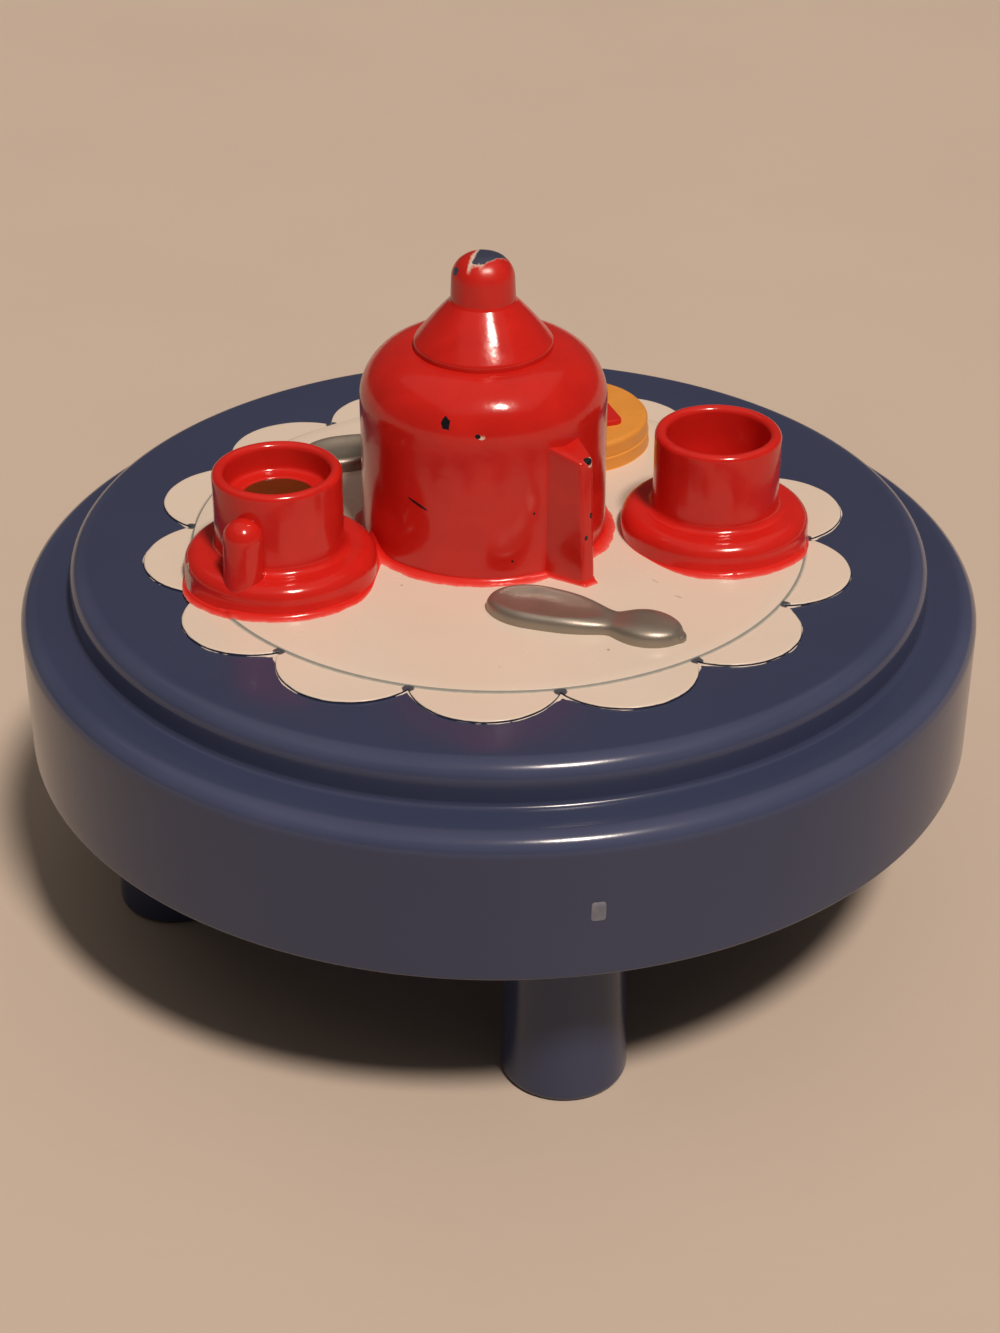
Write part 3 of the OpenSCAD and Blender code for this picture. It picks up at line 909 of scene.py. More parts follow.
@dataclass
class Table:
    """The hollow stepped table top and its four legs."""

    shoulder_w: float = 3.85
    step_h: float = 3.2
    edge_r: float = 1.45
    cove_r: float = 0.45
    wall: float = 2.0
    lip_r: float = 0.35
    inner_r: float = 0.8
    leg_inset: float = 10
    leg_top_r: float = 3.95
    leg_top_edge: float = 0.1
    foot_r: float = 4.6
    foot_edge: float = 0.5
    boss_l: float = 8
    bore_r: float = 2.25
    rib_t: float = 1.2
    rib_edge: float = 0.36
    rib_low: float = 20
    gate_w: float = 1.0
    gate_h: float = 1.5
    gate_rise: float = 5.4
    gate_proud: float = 0.06
    gate_square: float = 0.35
    gate_tear: float = 0.8
    box: NodeBox = box_of("table_top")

    @property
    def disc_r(self) -> float:
        """Radius of the raised disc."""
        return self.box.radius - self.shoulder_w

    @property
    def leg_ring_r(self) -> float:
        """Distance of the legs from the middle."""
        return self.box.radius - self.leg_inset

    @property
    def shoulder_z(self) -> float:
        """Height of the shoulder."""
        return self.box.top - self.step_h

    @property
    def boss_z(self) -> float:
        """Height of the bosses' lower ends."""
        return self.box.top - self.wall - self.boss_l

    def shell(self) -> Surface:
        """Revolves the even-walled section: disc, step, cove, shoulder, apron and the hollow below.

        Returns:
            The shell, whose two outer edges carry the mark of the painted highlight.
        """
        apron_r, inner = self.box.radius, self.box.radius - self.wall
        under = self.shoulder_z - self.wall
        shell = revolved(filleted([
            (0, self.box.top, 0),
            (self.disc_r, self.box.top, self.edge_r),
            (self.disc_r, self.shoulder_z, self.cove_r),
            (apron_r, self.shoulder_z, self.edge_r),
            (apron_r, self.box.bottom, self.lip_r),
            (inner, self.box.bottom, self.lip_r),
            (inner, under, self.inner_r),
            (self.disc_r - self.wall, under, self.lip_r),
            (self.disc_r - self.wall, self.box.top - self.wall, self.inner_r),
            (0, self.box.top - self.wall, 0),
        ]), segments=256)
        # Mark of the painted edge highlight: 1 on the disc's and the shoulder's edges, falling to 0 one
        # edge radius away
        radius = np.hypot(shell.points[:, 0], shell.points[:, 1])
        highlight_share = np.zeros(len(radius))
        for r, z in ((self.disc_r, self.box.top), (apron_r, self.shoulder_z)):
            away = np.hypot(radius - r, shell.points[:, 2] - z)
            highlight_share = np.maximum(highlight_share, np.clip(1 - away / self.edge_r, 0, 1))
        shell.marks["edge_highlight"] = highlight_share
        return shell

    def boss(self, place: LegPlace) -> Surface:
        """Revolves one leg's bored boss and adds the rib that ties it to the apron.

        Args:
            place: the leg.

        Returns:
            Boss and rib together.
        """
        roof = self.box.top - self.wall / 2
        sleeve = revolved(filleted([
            (self.leg_top_r, roof, 0),
            (self.leg_top_r, self.boss_z, self.lip_r),
            (self.bore_r, self.boss_z, self.lip_r),
            (self.bore_r, roof, 0),
        ]), segments=64).moved((self.leg_ring_r, 0, 0))
        half, high = self.rib_t / 2, self.shoulder_z - self.wall / 2
        y, z = filleted([
            (-half, high, 0), (-half, self.rib_low, self.rib_edge),
            (half, self.rib_low, self.rib_edge), (half, high, 0),
        ]).T
        ends = (self.leg_ring_r + self.bore_r + self.lip_r, self.box.radius - self.wall / 2)
        rings = np.stack(np.broadcast_arrays(np.array(ends)[:, None], y, z), axis=-1)
        middle = (self.rib_low + self.shoulder_z) / 2
        rib = ring_surface(rings, *((x, 0, middle) for x in ends))
        return sleeve.joined(rib).turned(place.value)

    def leg(self, place: LegPlace) -> Surface:
        """Revolves one leg, a little wider at the floor, with a rounded foot.

        Args:
            place: the leg.

        Returns:
            The leg in its place.
        """
        leg = revolved(filleted([
            (0, 0, 0),
            (self.foot_r, 0, self.foot_edge),
            (self.leg_top_r, self.boss_z, self.leg_top_edge),
            (0, self.boss_z, 0),
        ]), segments=96)
        return leg.moved((self.leg_ring_r, 0, 0)).turned(place.value)

    def gate(self) -> Surface:
        """Makes the broken-off stub of the moulding gate: a low pad with two rough steps on the apron.

        Returns:
            The pad, whose rings are squarish ovals, x = cos(t)^0.35 and z = sin(t)^0.35.
        """
        t = np.linspace(0, TURN, 24, endpoint=False)
        across = self.gate_w / 2 * signed_power(np.cos(t), self.gate_square)
        up = self.gate_h / 2 * signed_power(np.sin(t), self.gate_square)
        size, rise = np.array([[1.0, -0.3], [1.0, 0.5], [0.85, 1.0], [0.4, 0.8]]).T[:, :, None]
        depth = rise * self.gate_proud * (1 + self.gate_tear * np.sign(up))
        middle, face = self.box.bottom + self.gate_rise, -self.box.radius
        rings = np.stack([size * across, face - depth, middle + size * up], axis=-1)
        poles = ((0, face + out, middle) for out in (self.gate_proud, -self.gate_proud))
        return ring_surface(rings, *poles)

    def build(self) -> None:
        """Makes the shell, the legs and the gate's stub."""
        plastic = MouldedPlastic("slate_blue_abs").build()
        shell = reduce(Surface.joined, map(self.boss, LegPlace), self.shell())
        add_piece("table_shell", shell, plastic, "table_plastic", ["table_top"])
        scar = MottledPaint(
            "torn_abs", "#8a8c98", "#5c6074", mottle_mm=0.5, grain_mm=0.2, rough=0.6).build()
        add_piece("gate_stub", self.gate(), scar, "table_plastic")
        for place in LegPlace:
            add_piece(f"table_{place.node}", self.leg(place), plastic, "leg_plastic", [place.node])


@dataclass
class Doily:
    """The scalloped doily: a middle disc and, a step lower, a ring of lobes with worn edges."""

    lobes: int = 14
    lobe_share: float = 0.448
    lobe_t: float = 0.2
    middle_inset: float = 0.3
    middle_round: float = 0.05
    step_w: float = 0.16
    edge_r: float = 0.12
    ragged: float = 0.06
    worn_reach: float = 0.72
    worn_depth: float = 1.3
    film: float = 0.03
    film_w: float = 0.1
    fleck: float = 0.5
    fleck_w: float = 0.4
    columns_per_lobe: int = 48
    box: NodeBox = box_of("doily")

    @property
    def step(self) -> float:
        """Angle from lobe to lobe, in radians."""
        return TURN / self.lobes

    @property
    def angle(self) -> Array:
        """Angles of the columns, in radians."""
        return np.linspace(0, TURN, self.lobes * self.columns_per_lobe, endpoint=False)

    @property
    def to_notch(self) -> Array:
        """Angles from the columns to the nearest notch, in radians."""
        return self.angle % self.step - self.step / 2

    def rim(self) -> Array:
        """Gives the outline's radius at each column.

        On a lobe whose circle of radius s is centred at distance d, r = d cos t + sqrt(s^2 - (d sin t)^2).

        Returns:
            The radii, from the lobes' tips to the notches between them.
        """
        lobe_r = self.box.radius * self.step * self.lobe_share
        ring_r = self.box.radius - lobe_r
        in_lobe = (self.angle + self.step / 2) % self.step - self.step / 2
        return ring_r * np.cos(in_lobe) + np.sqrt(lobe_r ** 2 - (ring_r * np.sin(in_lobe)) ** 2)

    @property
    def middle_r(self) -> float:
        """Radius of the raised middle."""
        return float(self.rim().min()) - self.middle_inset

    @property
    def lobe_top(self) -> float:
        """Height of the lobes."""
        return self.box.bottom + self.lobe_t

    def height_at(self, x: Array, y: Array) -> Array:
        """Gives the doily's height at places on it, in the row frame."""
        out = np.hypot(x - self.box.axis[0], y - self.box.axis[1]) - self.middle_r
        return self.box.top - (self.box.top - self.lobe_top) * np.clip(out / self.step_w, 0, 1)

    def relief(self) -> Surface:
        """Makes the doily as rings that change from circles, up to the step, to the scalloped outline.

        Returns:
            The relief, which carries the marks thin on the step, worn at the notches and bare at the edge.
        """
        angle, rim = self.angle, self.rim()
        notch_r, middle_r, foot_r = rim.min(), self.middle_r, self.middle_r + self.step_w
        rim = rim - self.ragged * (1 + uneven(7 * angle, 0, 2.0)) / 2
        top, low, lobe_top = self.box.top, self.box.bottom, self.lobe_top
        bend = np.linspace(0, np.pi / 2, 5)[1:, None]
        flat_r = np.linspace(0.5, middle_r - self.middle_round, 24)[:, None]
        circles = np.concatenate([
            np.hstack([flat_r, 0 * flat_r + top, 0 * flat_r]),
            np.hstack([
                flat_r[-1] + self.middle_round * np.sin(bend),
                top - self.middle_round * (1 - np.cos(bend)),
                bend / bend[-1],
            ]),
            [[middle_r + self.step_w / 2, (top + lobe_top) / 2, 1.0], [foot_r, lobe_top, 0.6]],
        ])
        lobe_r = foot_r + np.linspace(0, 1, 16)[1:, None] * (rim - self.edge_r - foot_r)
        edge_r = rim - self.edge_r * (1 - np.sin(bend))
        edge_z = lobe_top - self.edge_r * (1 - np.cos(bend)) + 0 * edge_r
        radius = np.concatenate([circles[:, :1] + 0 * angle, lobe_r, edge_r, rim[None] + self.ragged])
        height = np.concatenate([
            circles[:, 1:2] + 0 * angle, lobe_top + 0 * lobe_r, edge_z, low + 0 * rim[None]])
        away = np.hypot(radius * np.cos(self.to_notch) - notch_r, radius * np.sin(self.to_notch))
        thin, bare = np.zeros_like(radius), np.clip((lobe_top - height) / self.edge_r, 0, 1)
        thin[:len(circles)] = circles[:, 2:]
        bare[:len(circles)] = 0
        worn = np.clip(self.worn_depth * (1 - away / self.worn_reach), 0, 1) * (radius > middle_r)
        marks = {"thin": thin, "worn": worn, "bare": bare}
        surface = ring_surface(around(radius, angle, height), (0, 0, top), (0, 0, low), marks=marks)
        return surface.moved((*self.box.axis, 0))

    def paint_foot(self) -> Surface:
        """Makes the white paint on the table round the lobes: a fringe here and there, flecks in notches.

        Returns:
            The film in its place.
        """
        angle, rim = self.angle, self.rim()
        fringe = np.clip(uneven(4 * angle, 0, 1.0) + 0.5 * uneven(23 * angle, 0, 2.0), 0, 1)
        fleck = np.exp(-(self.to_notch * rim / self.fleck_w) ** 2)
        fleck = fleck * np.clip(0.7 + 0.6 * uneven(3 * angle, 0, 3.0), 0, 1)
        section = np.array([[-0.3, 0, 0], [-0.3, 1, 0], [0.5, 1, 0], [0.9, 0.6, 0], [1, 0, 0]])
        paint = film(angle, rim, self.film_w * fringe + self.fleck * fleck, self.film, section)
        return paint.moved((*self.box.axis, self.box.bottom))

    def dirt(self) -> tuple[Chip, ...]:
        """Lists two dots and two short hairs that lie on the paint.

        Returns:
            The marks.
        """
        return tuple(
            Chip((x, y, self.box.top), (along, across, 0.2), turn)
            for x, y, along, across, turn in (
                (-8.5, -7.5, 0.08, 0.12, 0), (4.2, -19.1, 0.1, 0.12, 0),
                (9.65, -10.2, 0.42, 0.04, -62), (10.75, -12.75, 0.38, 0.05, -50),
            )
        )

    def build(self) -> None:
        """Makes the doily and the film at its foot."""
        paint = DoilyPaint("off_white_paint", dirt=self.dirt()).build()
        add_piece("doily_relief", self.relief(), paint, "doily_paint", ["doily"])
        add_piece("doily_paint_foot", self.paint_foot(), paint, "doily_paint")


@dataclass
class Teapot:
    """The teapot: body, lid, knob, wedge-shaped spout and rib handle, with its chips and paint runs."""

    doily: Doily
    foot_r: float = 0.15
    lid_margin: float = 0.1
    seam_r: float = 0.25
    lip_h: float = 0.45
    lid_round: float = 0.4
    lid_swell: float = 0.09
    swell_r: float = 30
    knob_share: float = 0.84
    knob_taper: float = 0.94
    knob_foot_r: float = 0.05
    neck_r: float = 0.2
    spout_turn: float = -60.8
    spout_w: float = 2.7
    nose_w: float = 1.1
    spout_reach: float = 2.4
    spout_flare: float = 0.5
    spout_fall: float = 0.6
    spout_round: float = 0.42
    handle_turn: float = 119.2
    handle_d: float = 3.4
    handle_h: float = 9.8
    handle_stand_share: float = 0.3
    handle_lean: float = 5
    run_h: float = 0.35
    run_w: float = 0.68
    run_ragged: tuple[float, float] = (0.12, 0.05)
    spout_clear: float = 12
    spout_thin: float = 0.55
    puddle_turn: float = -30
    puddle_w: float = 14
    puddle: float = 0.2
    web_turn: float = -165.4
    web_w: float = 9
    web_h: float = 1.2
    web_reach: float = 0.5
    sway: float = 0.03
    body_box: NodeBox = box_of("teapot_body")
    lid_box: NodeBox = box_of("teapot_lid")
    knob_box: NodeBox = box_of("lid_knob")
    spout_box: NodeBox = box_of("teapot_spout")
    table_box: NodeBox = box_of("table_top")

    @property
    def base(self) -> float:
        """Height of the doily's middle, on which the teapot stands."""
        return self.doily.box.top

    @property
    def lid_z(self) -> float:
        """Height of the body's top, where the lid sits."""
        return self.body_box.top

    def at(self, surface: Surface, turn: float = 0, z: float = 0) -> Surface:
        """Turns a surface and moves it to the teapot's axis, at a height."""
        return surface.turned(turn).moved((*self.body_box.axis, z))

    def on_side(self, turn: float, height: float, out: float = 0) -> Point:
        """Gives the point in a direction, at a height over the table and a distance outside the body."""
        x, y = self.body_box.axis + (self.body_box.radius + out) * heading(turn)
        return float(x), float(y), self.table_box.top + height

    def chips(self) -> tuple[Chip, ...]:
        """Lists the places on the body and the spout where the paint is gone.

        Returns:
            Two chips on the shoulder, a scratch and two dots on the side, and three chips on the spout.
        """
        out = self.spout_reach
        return (
            Chip(
                self.on_side(-117.8, 12.76, -0.35), (0.36, 0.4, 0.48), -27.8, rim=None,
                corners=((-0.9, 0.0), (-0.5, -0.9), (0.8, -0.9), (0.9, 0.4), (-0.2, 1.0)),
            ),
            Chip(self.on_side(-102.6, 12.0, -0.1), (0.21, 0.3, 0.17), -12.6, rim=(0.26, 0, -0.02)),
            Chip(self.on_side(-131.5, 6.08), (0.88, 0.3, 0.12), -41.5, 22, rim=None),
            Chip(self.on_side(-76.7, 5.6), (0.09, 0.2, 0.11), rim=None),
            Chip(self.on_side(-87.1, 2.0), (0.09, 0.2, 0.11), rim=None),
            Chip(self.on_side(-59.6, 9.98, out - 0.1), (0.36, 0.4, 0.3), 30, rim=(0.05, 0, -0.1)),
            Chip(self.on_side(-59.3, 5.73, out + 0.24), (0.15, 0.26, 0.24), 29, rim=None),
            Chip(self.on_side(-61.8, 4.08, out + 0.32), (0.15, 0.26, 0.19), 29, rim=None),
        )

    def knob_chips(self) -> tuple[Chip, ...]:
        """Lists the places on the knob where the paint is gone.

        Returns:
            The worn patch at the tip, and a chip at the left.
        """
        axis, top = self.body_box.axis, self.knob_box.top
        tip = (*(axis + 0.51 * heading(0.9)), top - 0.6)
        side = (*(axis + 2.1 * heading(-170)), top - 1.05)
        return (
            Chip(
                tip, (1.0, 1.2, 1.0), -10.4, lean=-90, rim=(-0.13, 0, -0.02),
                corners=((-1.34, -1.45), (-0.4, -1.55), (1.18, -0.2), (0.8, 1.4), (-0.6, 1.4)),
            ),
            Chip(side, (0.4, 0.4, 0.32), rim=None),
        )

    def body(self) -> Surface:
        """Revolves the body: upright side, wide round shoulder and flat top.

        Returns:
            The body in its place.
        """
        radius, lid_r = self.body_box.radius, self.lid_box.radius
        profile = filleted([
            (0, self.base, 0),
            (radius, self.base, self.foot_r),
            (radius, self.lid_z, radius - lid_r - self.lid_margin),
            (0, self.lid_z, 0),
        ], arc_steps=20, span=0.8)
        return self.at(revolved(profile, 160, self.sway, 0.4))

    def lid(self) -> Surface:
        """Revolves the conical, slightly swollen lid with its upright lip and the cove under the knob.

        Returns:
            The lid in its place.
        """
        r, knob_r = self.lid_box.radius, self.knob_box.radius
        rim = np.array([r, self.lid_z + self.lip_h])
        neck = np.array([knob_r + self.lid_margin, self.lid_box.top])
        slope = (neck - rim) / np.linalg.norm(neck - rim)
        swell = (rim + neck) / 2 + self.lid_swell * np.array([slope[1], -slope[0]])
        profile = filleted([
            (0, self.lid_z - self.seam_r, 0),
            (r - self.seam_r / 2, self.lid_z - self.seam_r, 0),
            (r, self.lid_z, self.lid_round / 2),
            (*rim, self.lid_round),
            (*swell, self.swell_r),
            (*neck, self.neck_r),
            (knob_r, self.lid_box.top + self.neck_r, 0),
            (0, self.lid_box.top + self.neck_r, 0),
        ], span=0.6)
        return self.at(revolved(profile, 128, self.sway, 1.7))

    def knob(self) -> Surface:
        """Revolves the round-topped knob, which narrows a little upwards.

        Returns:
            The knob in its place.
        """
        r, low, high = self.knob_box.radius, self.lid_box.top, self.knob_box.top
        tip_r = r * self.knob_taper
        profile = filleted([
            (0, low, 0), (r, low, self.knob_foot_r), (tip_r, high, tip_r * self.knob_share), (0, high, 0),
        ], arc_steps=16, span=0.4)
        return self.at(revolved(profile, 96, self.sway, 3.1))

    def spout_rim(self, turn: Array) -> Array:
        """Gives the distance of the spout's outline from the axis at the table, in directions round it.

        On a side that starts n beside the nose's middle at distance R and falls off by a slope m,
        r = (R m + n) / (sin t + m cos t), and on the nose r = R / cos t.

        Args:
            turn: directions from the spout's own direction, in radians.

        Returns:
            The distances, zero behind the body.
        """
        reach = self.body_box.radius + self.spout_reach + self.spout_flare
        slope = (self.spout_w - self.nose_w) / (2 * self.spout_reach)
        side = np.minimum(np.abs((turn + np.pi) % TURN - np.pi), 1)
        flank = (reach * slope + self.nose_w / 2) / (np.sin(side) + np.cos(side) * slope)
        return np.where(side < 1, np.minimum(flank, reach / np.cos(side)), 0)

    def spout(self) -> Surface:
        """Lofts the blunt wedge upwards, drawing its nose in, and closes it with the falling top.

        Returns:
            The spout in its place.
        """
        r, height = self.body_box.radius, self.spout_box.top - self.base
        tip, nose = r + self.spout_reach, self.nose_w / 2
        root, wide = tip - 2 * self.spout_reach, self.spout_w - nose
        x, y = filleted([
            (root, wide, 0), (tip, nose, self.spout_round),
            (tip, -nose, self.spout_round), (root, -wide, 0),
        ], arc_steps=6, span=0.3).T
        top = height - self.spout_fall / self.spout_reach * np.maximum(x - r, 0)
        rise = np.concatenate([np.linspace(0, 1, 24)[:-1], [0.985, 0.995, 1.0]])[:, None]
        inset = np.concatenate([np.ones(24), [0.985, 0.95]])[:, None]
        z = rise * top
        middle = r - self.spout_reach / 2
        drawn = middle + (x - middle) * inset + self.spout_flare * (1 - z / height)
        rings = np.stack([drawn, y * inset, z], axis=-1)
        surface = ring_surface(rings, (middle, 0, 0), (middle, 0, height))
        return self.at(surface, self.spout_turn, self.base)

    def handle(self) -> Surface:
        """Makes the rounded rib on the far side.

        Returns:
            The handle in its place.
        """
        stand = self.body_box.radius + self.handle_d * self.handle_stand_share
        rib = rib_handle(self.handle_d, self.handle_h, stand, self.handle_lean, 0)
        return self.at(rib, self.handle_turn, self.base)

    def run(self) -> Surface:
        """Makes the paint that has pooled round the base, with a web to the left saucer and a puddle.

        Outwards from the body, or from the spout, it falls off along a hollow curve to a thin ragged edge.

        Returns:
            The film in its place.
        """
        angle = np.linspace(0, TURN, 720, endpoint=False)
        foot = np.maximum(self.body_box.radius, self.spout_rim(angle - np.radians(self.spout_turn)))
        web = bell(angle, self.web_turn, self.web_w)
        slow, quick = self.run_ragged
        width = self.run_w + slow * uneven(3 * angle, 0, 0.9) + quick * uneven(9 * angle, 0, 5.0)
        width = width * (1 - self.spout_thin * bell(angle, self.spout_turn, self.spout_clear))
        width = width + self.puddle * bell(angle, self.puddle_turn, self.puddle_w) + self.web_reach * web
        section = run_section(0.66, 0.42, 0.24, 0.14)
        paint = film(angle, foot, width, self.run_h + self.web_h * web, section)
        return self.at(paint, 0, self.base)

    def build(self) -> None:
        """Makes the teapot's pieces."""
        enamel = RedEnamel("red_enamel_chipped", chips=self.chips()).build()
        add_piece("pot_body", self.body(), enamel, "pot_red", ["teapot_body"])
        add_piece("pot_lid", self.lid(), enamel, "pot_red", ["teapot_lid"])
        worn = RedEnamel(
            "red_enamel_worn", bare="#3b4258", rim="#e0d4c4", chips=self.knob_chips(), rim_reach=1.42,
            rim_share=0.75, rough=(0.26, 0.36),
        ).build()
        add_piece("pot_knob", self.knob(), worn, "knob_red", ["lid_knob"])
        add_piece("pot_spout", self.spout(), enamel, "pot_red", ["teapot_spout"], sharp=60)
        add_piece("pot_handle", self.handle(), enamel, "pot_red", ["teapot_handle"])
        add_piece("pot_paint_run", self.run(), PaintRun("run_red_enamel").build(), "pot_red")


class Side(Enum):
    """The two places at the table, with the direction of each cup's handle in degrees."""

    LEFT = -125.0
    RIGHT = 76.0

    @property
    def suffix(self) -> str:
        """Ending of the side's CAD nodes."""
        return self.name.lower()

    @property
    def run(self) -> tuple[float, float]:
        """Direction of the paint at the saucer's foot, and its reach to both sides, in degrees."""
        return (-104, 88) if self is Side.LEFT else (-83, 70)


@dataclass
class PlaceSetting:
    """A cup with its handle on a saucer, with tea in the left one."""

    side: Side
    doily: Doily
    saucer_edge_r: float = 1.1
    saucer_foot_r: float = 0.05
    saucer_flare: float = 0.45
    flare_h: float = 1.1
    flare_power: float = 1.5
    cup_r: float = 4.7
    cup_wall: float = 0.9
    cup_floor: float = 1.0
    lip_flat: float = 0.01
    cove_r: float = 0.6
    cove_share: float = 0.95
    overlap: float = 0.02
    handle_d: float = 2.9
    handle_h: float = 4.4
    handle_stand_share: float = 0.16
    handle_lean: float = 4
    tea_depth: float = 2.1
    tea_sunk: float = 0.15
    tea_inset: float = 0.2
    tea_climb: float = 0.08
    tea_climb_w: float = 0.3
    tea_round: float = 0.25
    ledge_r: float = 0.35
    run_h: float = 0.2
    run_w: float = 0.42
    run_least_h: float = 0.05
    run_least_w: float = 0.04
    run_ragged: tuple[float, float] = (0.1, 0.04)
    run_fade: float = 44
    web_turn: float = 8
    web_w: float = 16
    web_h: float = 0.8
    web_reach: float = 0.45
    sway: float = 0.03
    tea_box: NodeBox = box_of("tea_left")

    @property
    def saucer_box(self) -> NodeBox:
        """Box of the saucer's node."""
        return NodeBox.of(f"saucer_{self.side.suffix}")

    @property
    def cup_box(self) -> NodeBox:
        """Box of the cup's node."""
        return NodeBox.of(f"cup_{self.side.suffix}")

    def at(self, surface: Surface, turn: float = 0) -> Surface:
        """Turns a surface and moves it to the saucer's axis."""
        return surface.turned(turn).moved((*self.saucer_box.axis, 0))

    def front_share(self, angle: Array) -> Array:
        """Gives how much of the foot's paint stands in directions round the saucer, from 0 to 1."""
        front, span = self.side.run
        return smooth(np.clip((span - np.abs(apart(angle, front))) / self.run_fade, 0, 1))

    def saucer(self) -> Surface:
        """Revolves the saucer, a thick plate with a round edge, and widens its front towards the foot.

        Returns:
            The saucer in its place, on the doily's lobes.
        """
        r, foot, top = self.saucer_box.radius, self.doily.lobe_top, self.saucer_box.top
        plate = revolved(filleted([
            (0, foot, 0), (r, foot, self.saucer_foot_r), (r, top, self.saucer_edge_r), (0, top, 0),
        ], arc_steps=14, span=0.15), 128, self.sway, self.side.value)
        x, y, z = plate.points.T
        low = np.clip(1 - (z - foot) / self.flare_h, 0, 1) ** self.flare_power
        low = low * np.minimum(1, np.hypot(x, y) / r)
        grown = 1 + self.saucer_flare / r * self.front_share(np.arctan2(y, x)) * low
        plate.points[:, :2] *= grown[:, None]
        return self.at(plate)

    def cup(self) -> Surface:
        """Revolves the cup: cove, upright side, full round lip and the hollow, with a ledge over tea.

        Returns:
            The cup in its place.
        """
        foot, rim = self.saucer_box.top, self.cup_box.top
        bore, cove = self.cup_r - self.cup_wall, self.cup_r + self.cove_r
        lip = self.cup_wall / 2 - self.lip_flat
        corners = [
            (0, foot - self.cove_r / 2, 0),
            (cove, foot - self.cove_r / 2, 0),
            (cove, foot + self.overlap, 0),
            (self.cup_r, foot + self.overlap, self.cove_r * self.cove_share),
            (self.cup_r, rim, lip),
            (bore, rim, lip),
        ]
        if self.side is Side.LEFT:
            tea_r, ledge = self.tea_box.radius - self.tea_inset, rim - self.tea_depth
            sunk = ledge - 3 * self.tea_sunk
            corners += [
                (bore, ledge, self.ledge_r), (tea_r, ledge, self.ledge_r / 2),
                (tea_r, sunk, 0), (0, sunk, 0),
            ]
        else:
            floor = foot + self.cup_floor
            corners += [(bore, floor, self.ledge_r), (0, floor, 0)]
        profile = filleted(corners, arc_steps=12, span=0.4)
        return self.at(revolved(profile, 128, self.sway, 2 + self.side.value))

    def handle(self) -> Surface:
        """Makes the rounded rib on the saucer, kept between the cup's bore and the saucer's edge.

        Returns:
            The handle in its place.
        """
        stand = self.cup_r + self.handle_d * self.handle_stand_share
        rib = rib_handle(self.handle_d, self.handle_h, stand, self.handle_lean, -self.saucer_edge_r)
        away = np.hypot(rib.points[:, 0], rib.points[:, 1])
        least, most = self.cup_r - self.cup_wall / 2, self.saucer_box.radius - self.overlap
        rib.points[:, :2] *= (np.clip(away, least, most) / away)[:, None]
        return self.at(rib.moved((0, 0, self.saucer_box.top)), self.side.value)

    def tea(self) -> Surface:
        """Revolves the tea: a still disc that climbs a little at its edge.

        Returns:
            The tea in its place.
        """
        r = self.tea_box.radius + self.overlap
        top = self.cup_box.top - self.tea_depth - self.tea_sunk
        profile = filleted([
            (0, top - self.tea_sunk, 0),
            (r, top - self.tea_sunk, 0),
            (r, top + self.tea_climb, 0),
            (r - self.tea_climb_w, top, self.tea_round),
            (0, top, 0),
        ], span=0.3)
        return self.at(revolved(profile, 96))

    def run(self) -> Surface:
        """Makes the paint that has pooled along the saucer's front and, at the left one, towards the pot.

        Outwards from the saucer it falls off along a hollow curve, and it follows the doily's step.

        Returns:
            The film in its place.
        """
        angle, seed = np.linspace(0, TURN, 480, endpoint=False), self.side.value
        share = self.front_share(angle)
        web = bell(angle, self.web_turn, self.web_w) * (self.side is Side.LEFT)
        slow, quick = self.run_ragged
        width = self.run_w + slow * uneven(2 * angle, 0, seed) + quick * uneven(8 * angle, 0, seed)
        width = self.run_least_w + width * share + self.web_reach * web
        foot = self.saucer_box.radius + self.saucer_flare * share
        height = self.run_least_h + self.run_h * share + self.web_h * web
        run = self.at(film(angle, foot, width, height, run_section(0.68, 0.45, 0.28, 0.16)))
        run.points[:, 2] += self.doily.height_at(run.points[:, 0], run.points[:, 1])
        return run

    def chips(self) -> tuple[Chip, ...]:
        """Lists the worn place on the left saucer's edge, or the pale dot on the right cup's rim, which is
        a painted highlight.

        Returns:
            One chip.
        """
        if self.side is Side.LEFT:
            worn = self.saucer_box.axis + (self.saucer_box.radius + 0.15) * heading(-167)
            return (Chip((*worn, self.doily.box.top + 0.65), (0.36, 0.7, 1.05), -77, -45),)
        # Right cup: the chip's pale tone on the rim's right side is a painted highlight, not wear
        worn = self.cup_box.axis + (self.cup_r - 0.1) * heading(-4)
        return (Chip((*worn, self.cup_box.top - 0.3), (0.1, 0.14, 0.16)),)

    def build(self) -> None:
        """Makes the place's pieces."""
        end = self.side.suffix
        # The pale bare tone marks the left saucer's worn edge; on the right cup it is a painted highlight
        enamel = RedEnamel(
            f"red_enamel_{end}", light="#d92820", dark="#bf201a", bare="#c9a297", chips=self.chips()
        ).build()
        add_piece(f"place_saucer_{end}", self.saucer(), enamel, "cup_red", [f"saucer_{end}"])
        add_piece(f"place_cup_{end}", self.cup(), enamel, "cup_red", [f"cup_{end}"], sharp=65)
        add_piece(f"place_handle_{end}", self.handle(), enamel, "cup_red", [f"cup_{end}_handle"])
        run = PaintRun(f"run_red_enamel_{end}").build()
        add_piece(f"place_paint_run_{end}", self.run(), run, "cup_red")
        if self.side is Side.LEFT:
            brown = MottledPaint("brown_gloss_paint", "#6a3816", "#3a190a", rough=0.12).build()
            add_piece("place_tea_left", self.tea(), brown, "tea_brown", ["tea_left"])


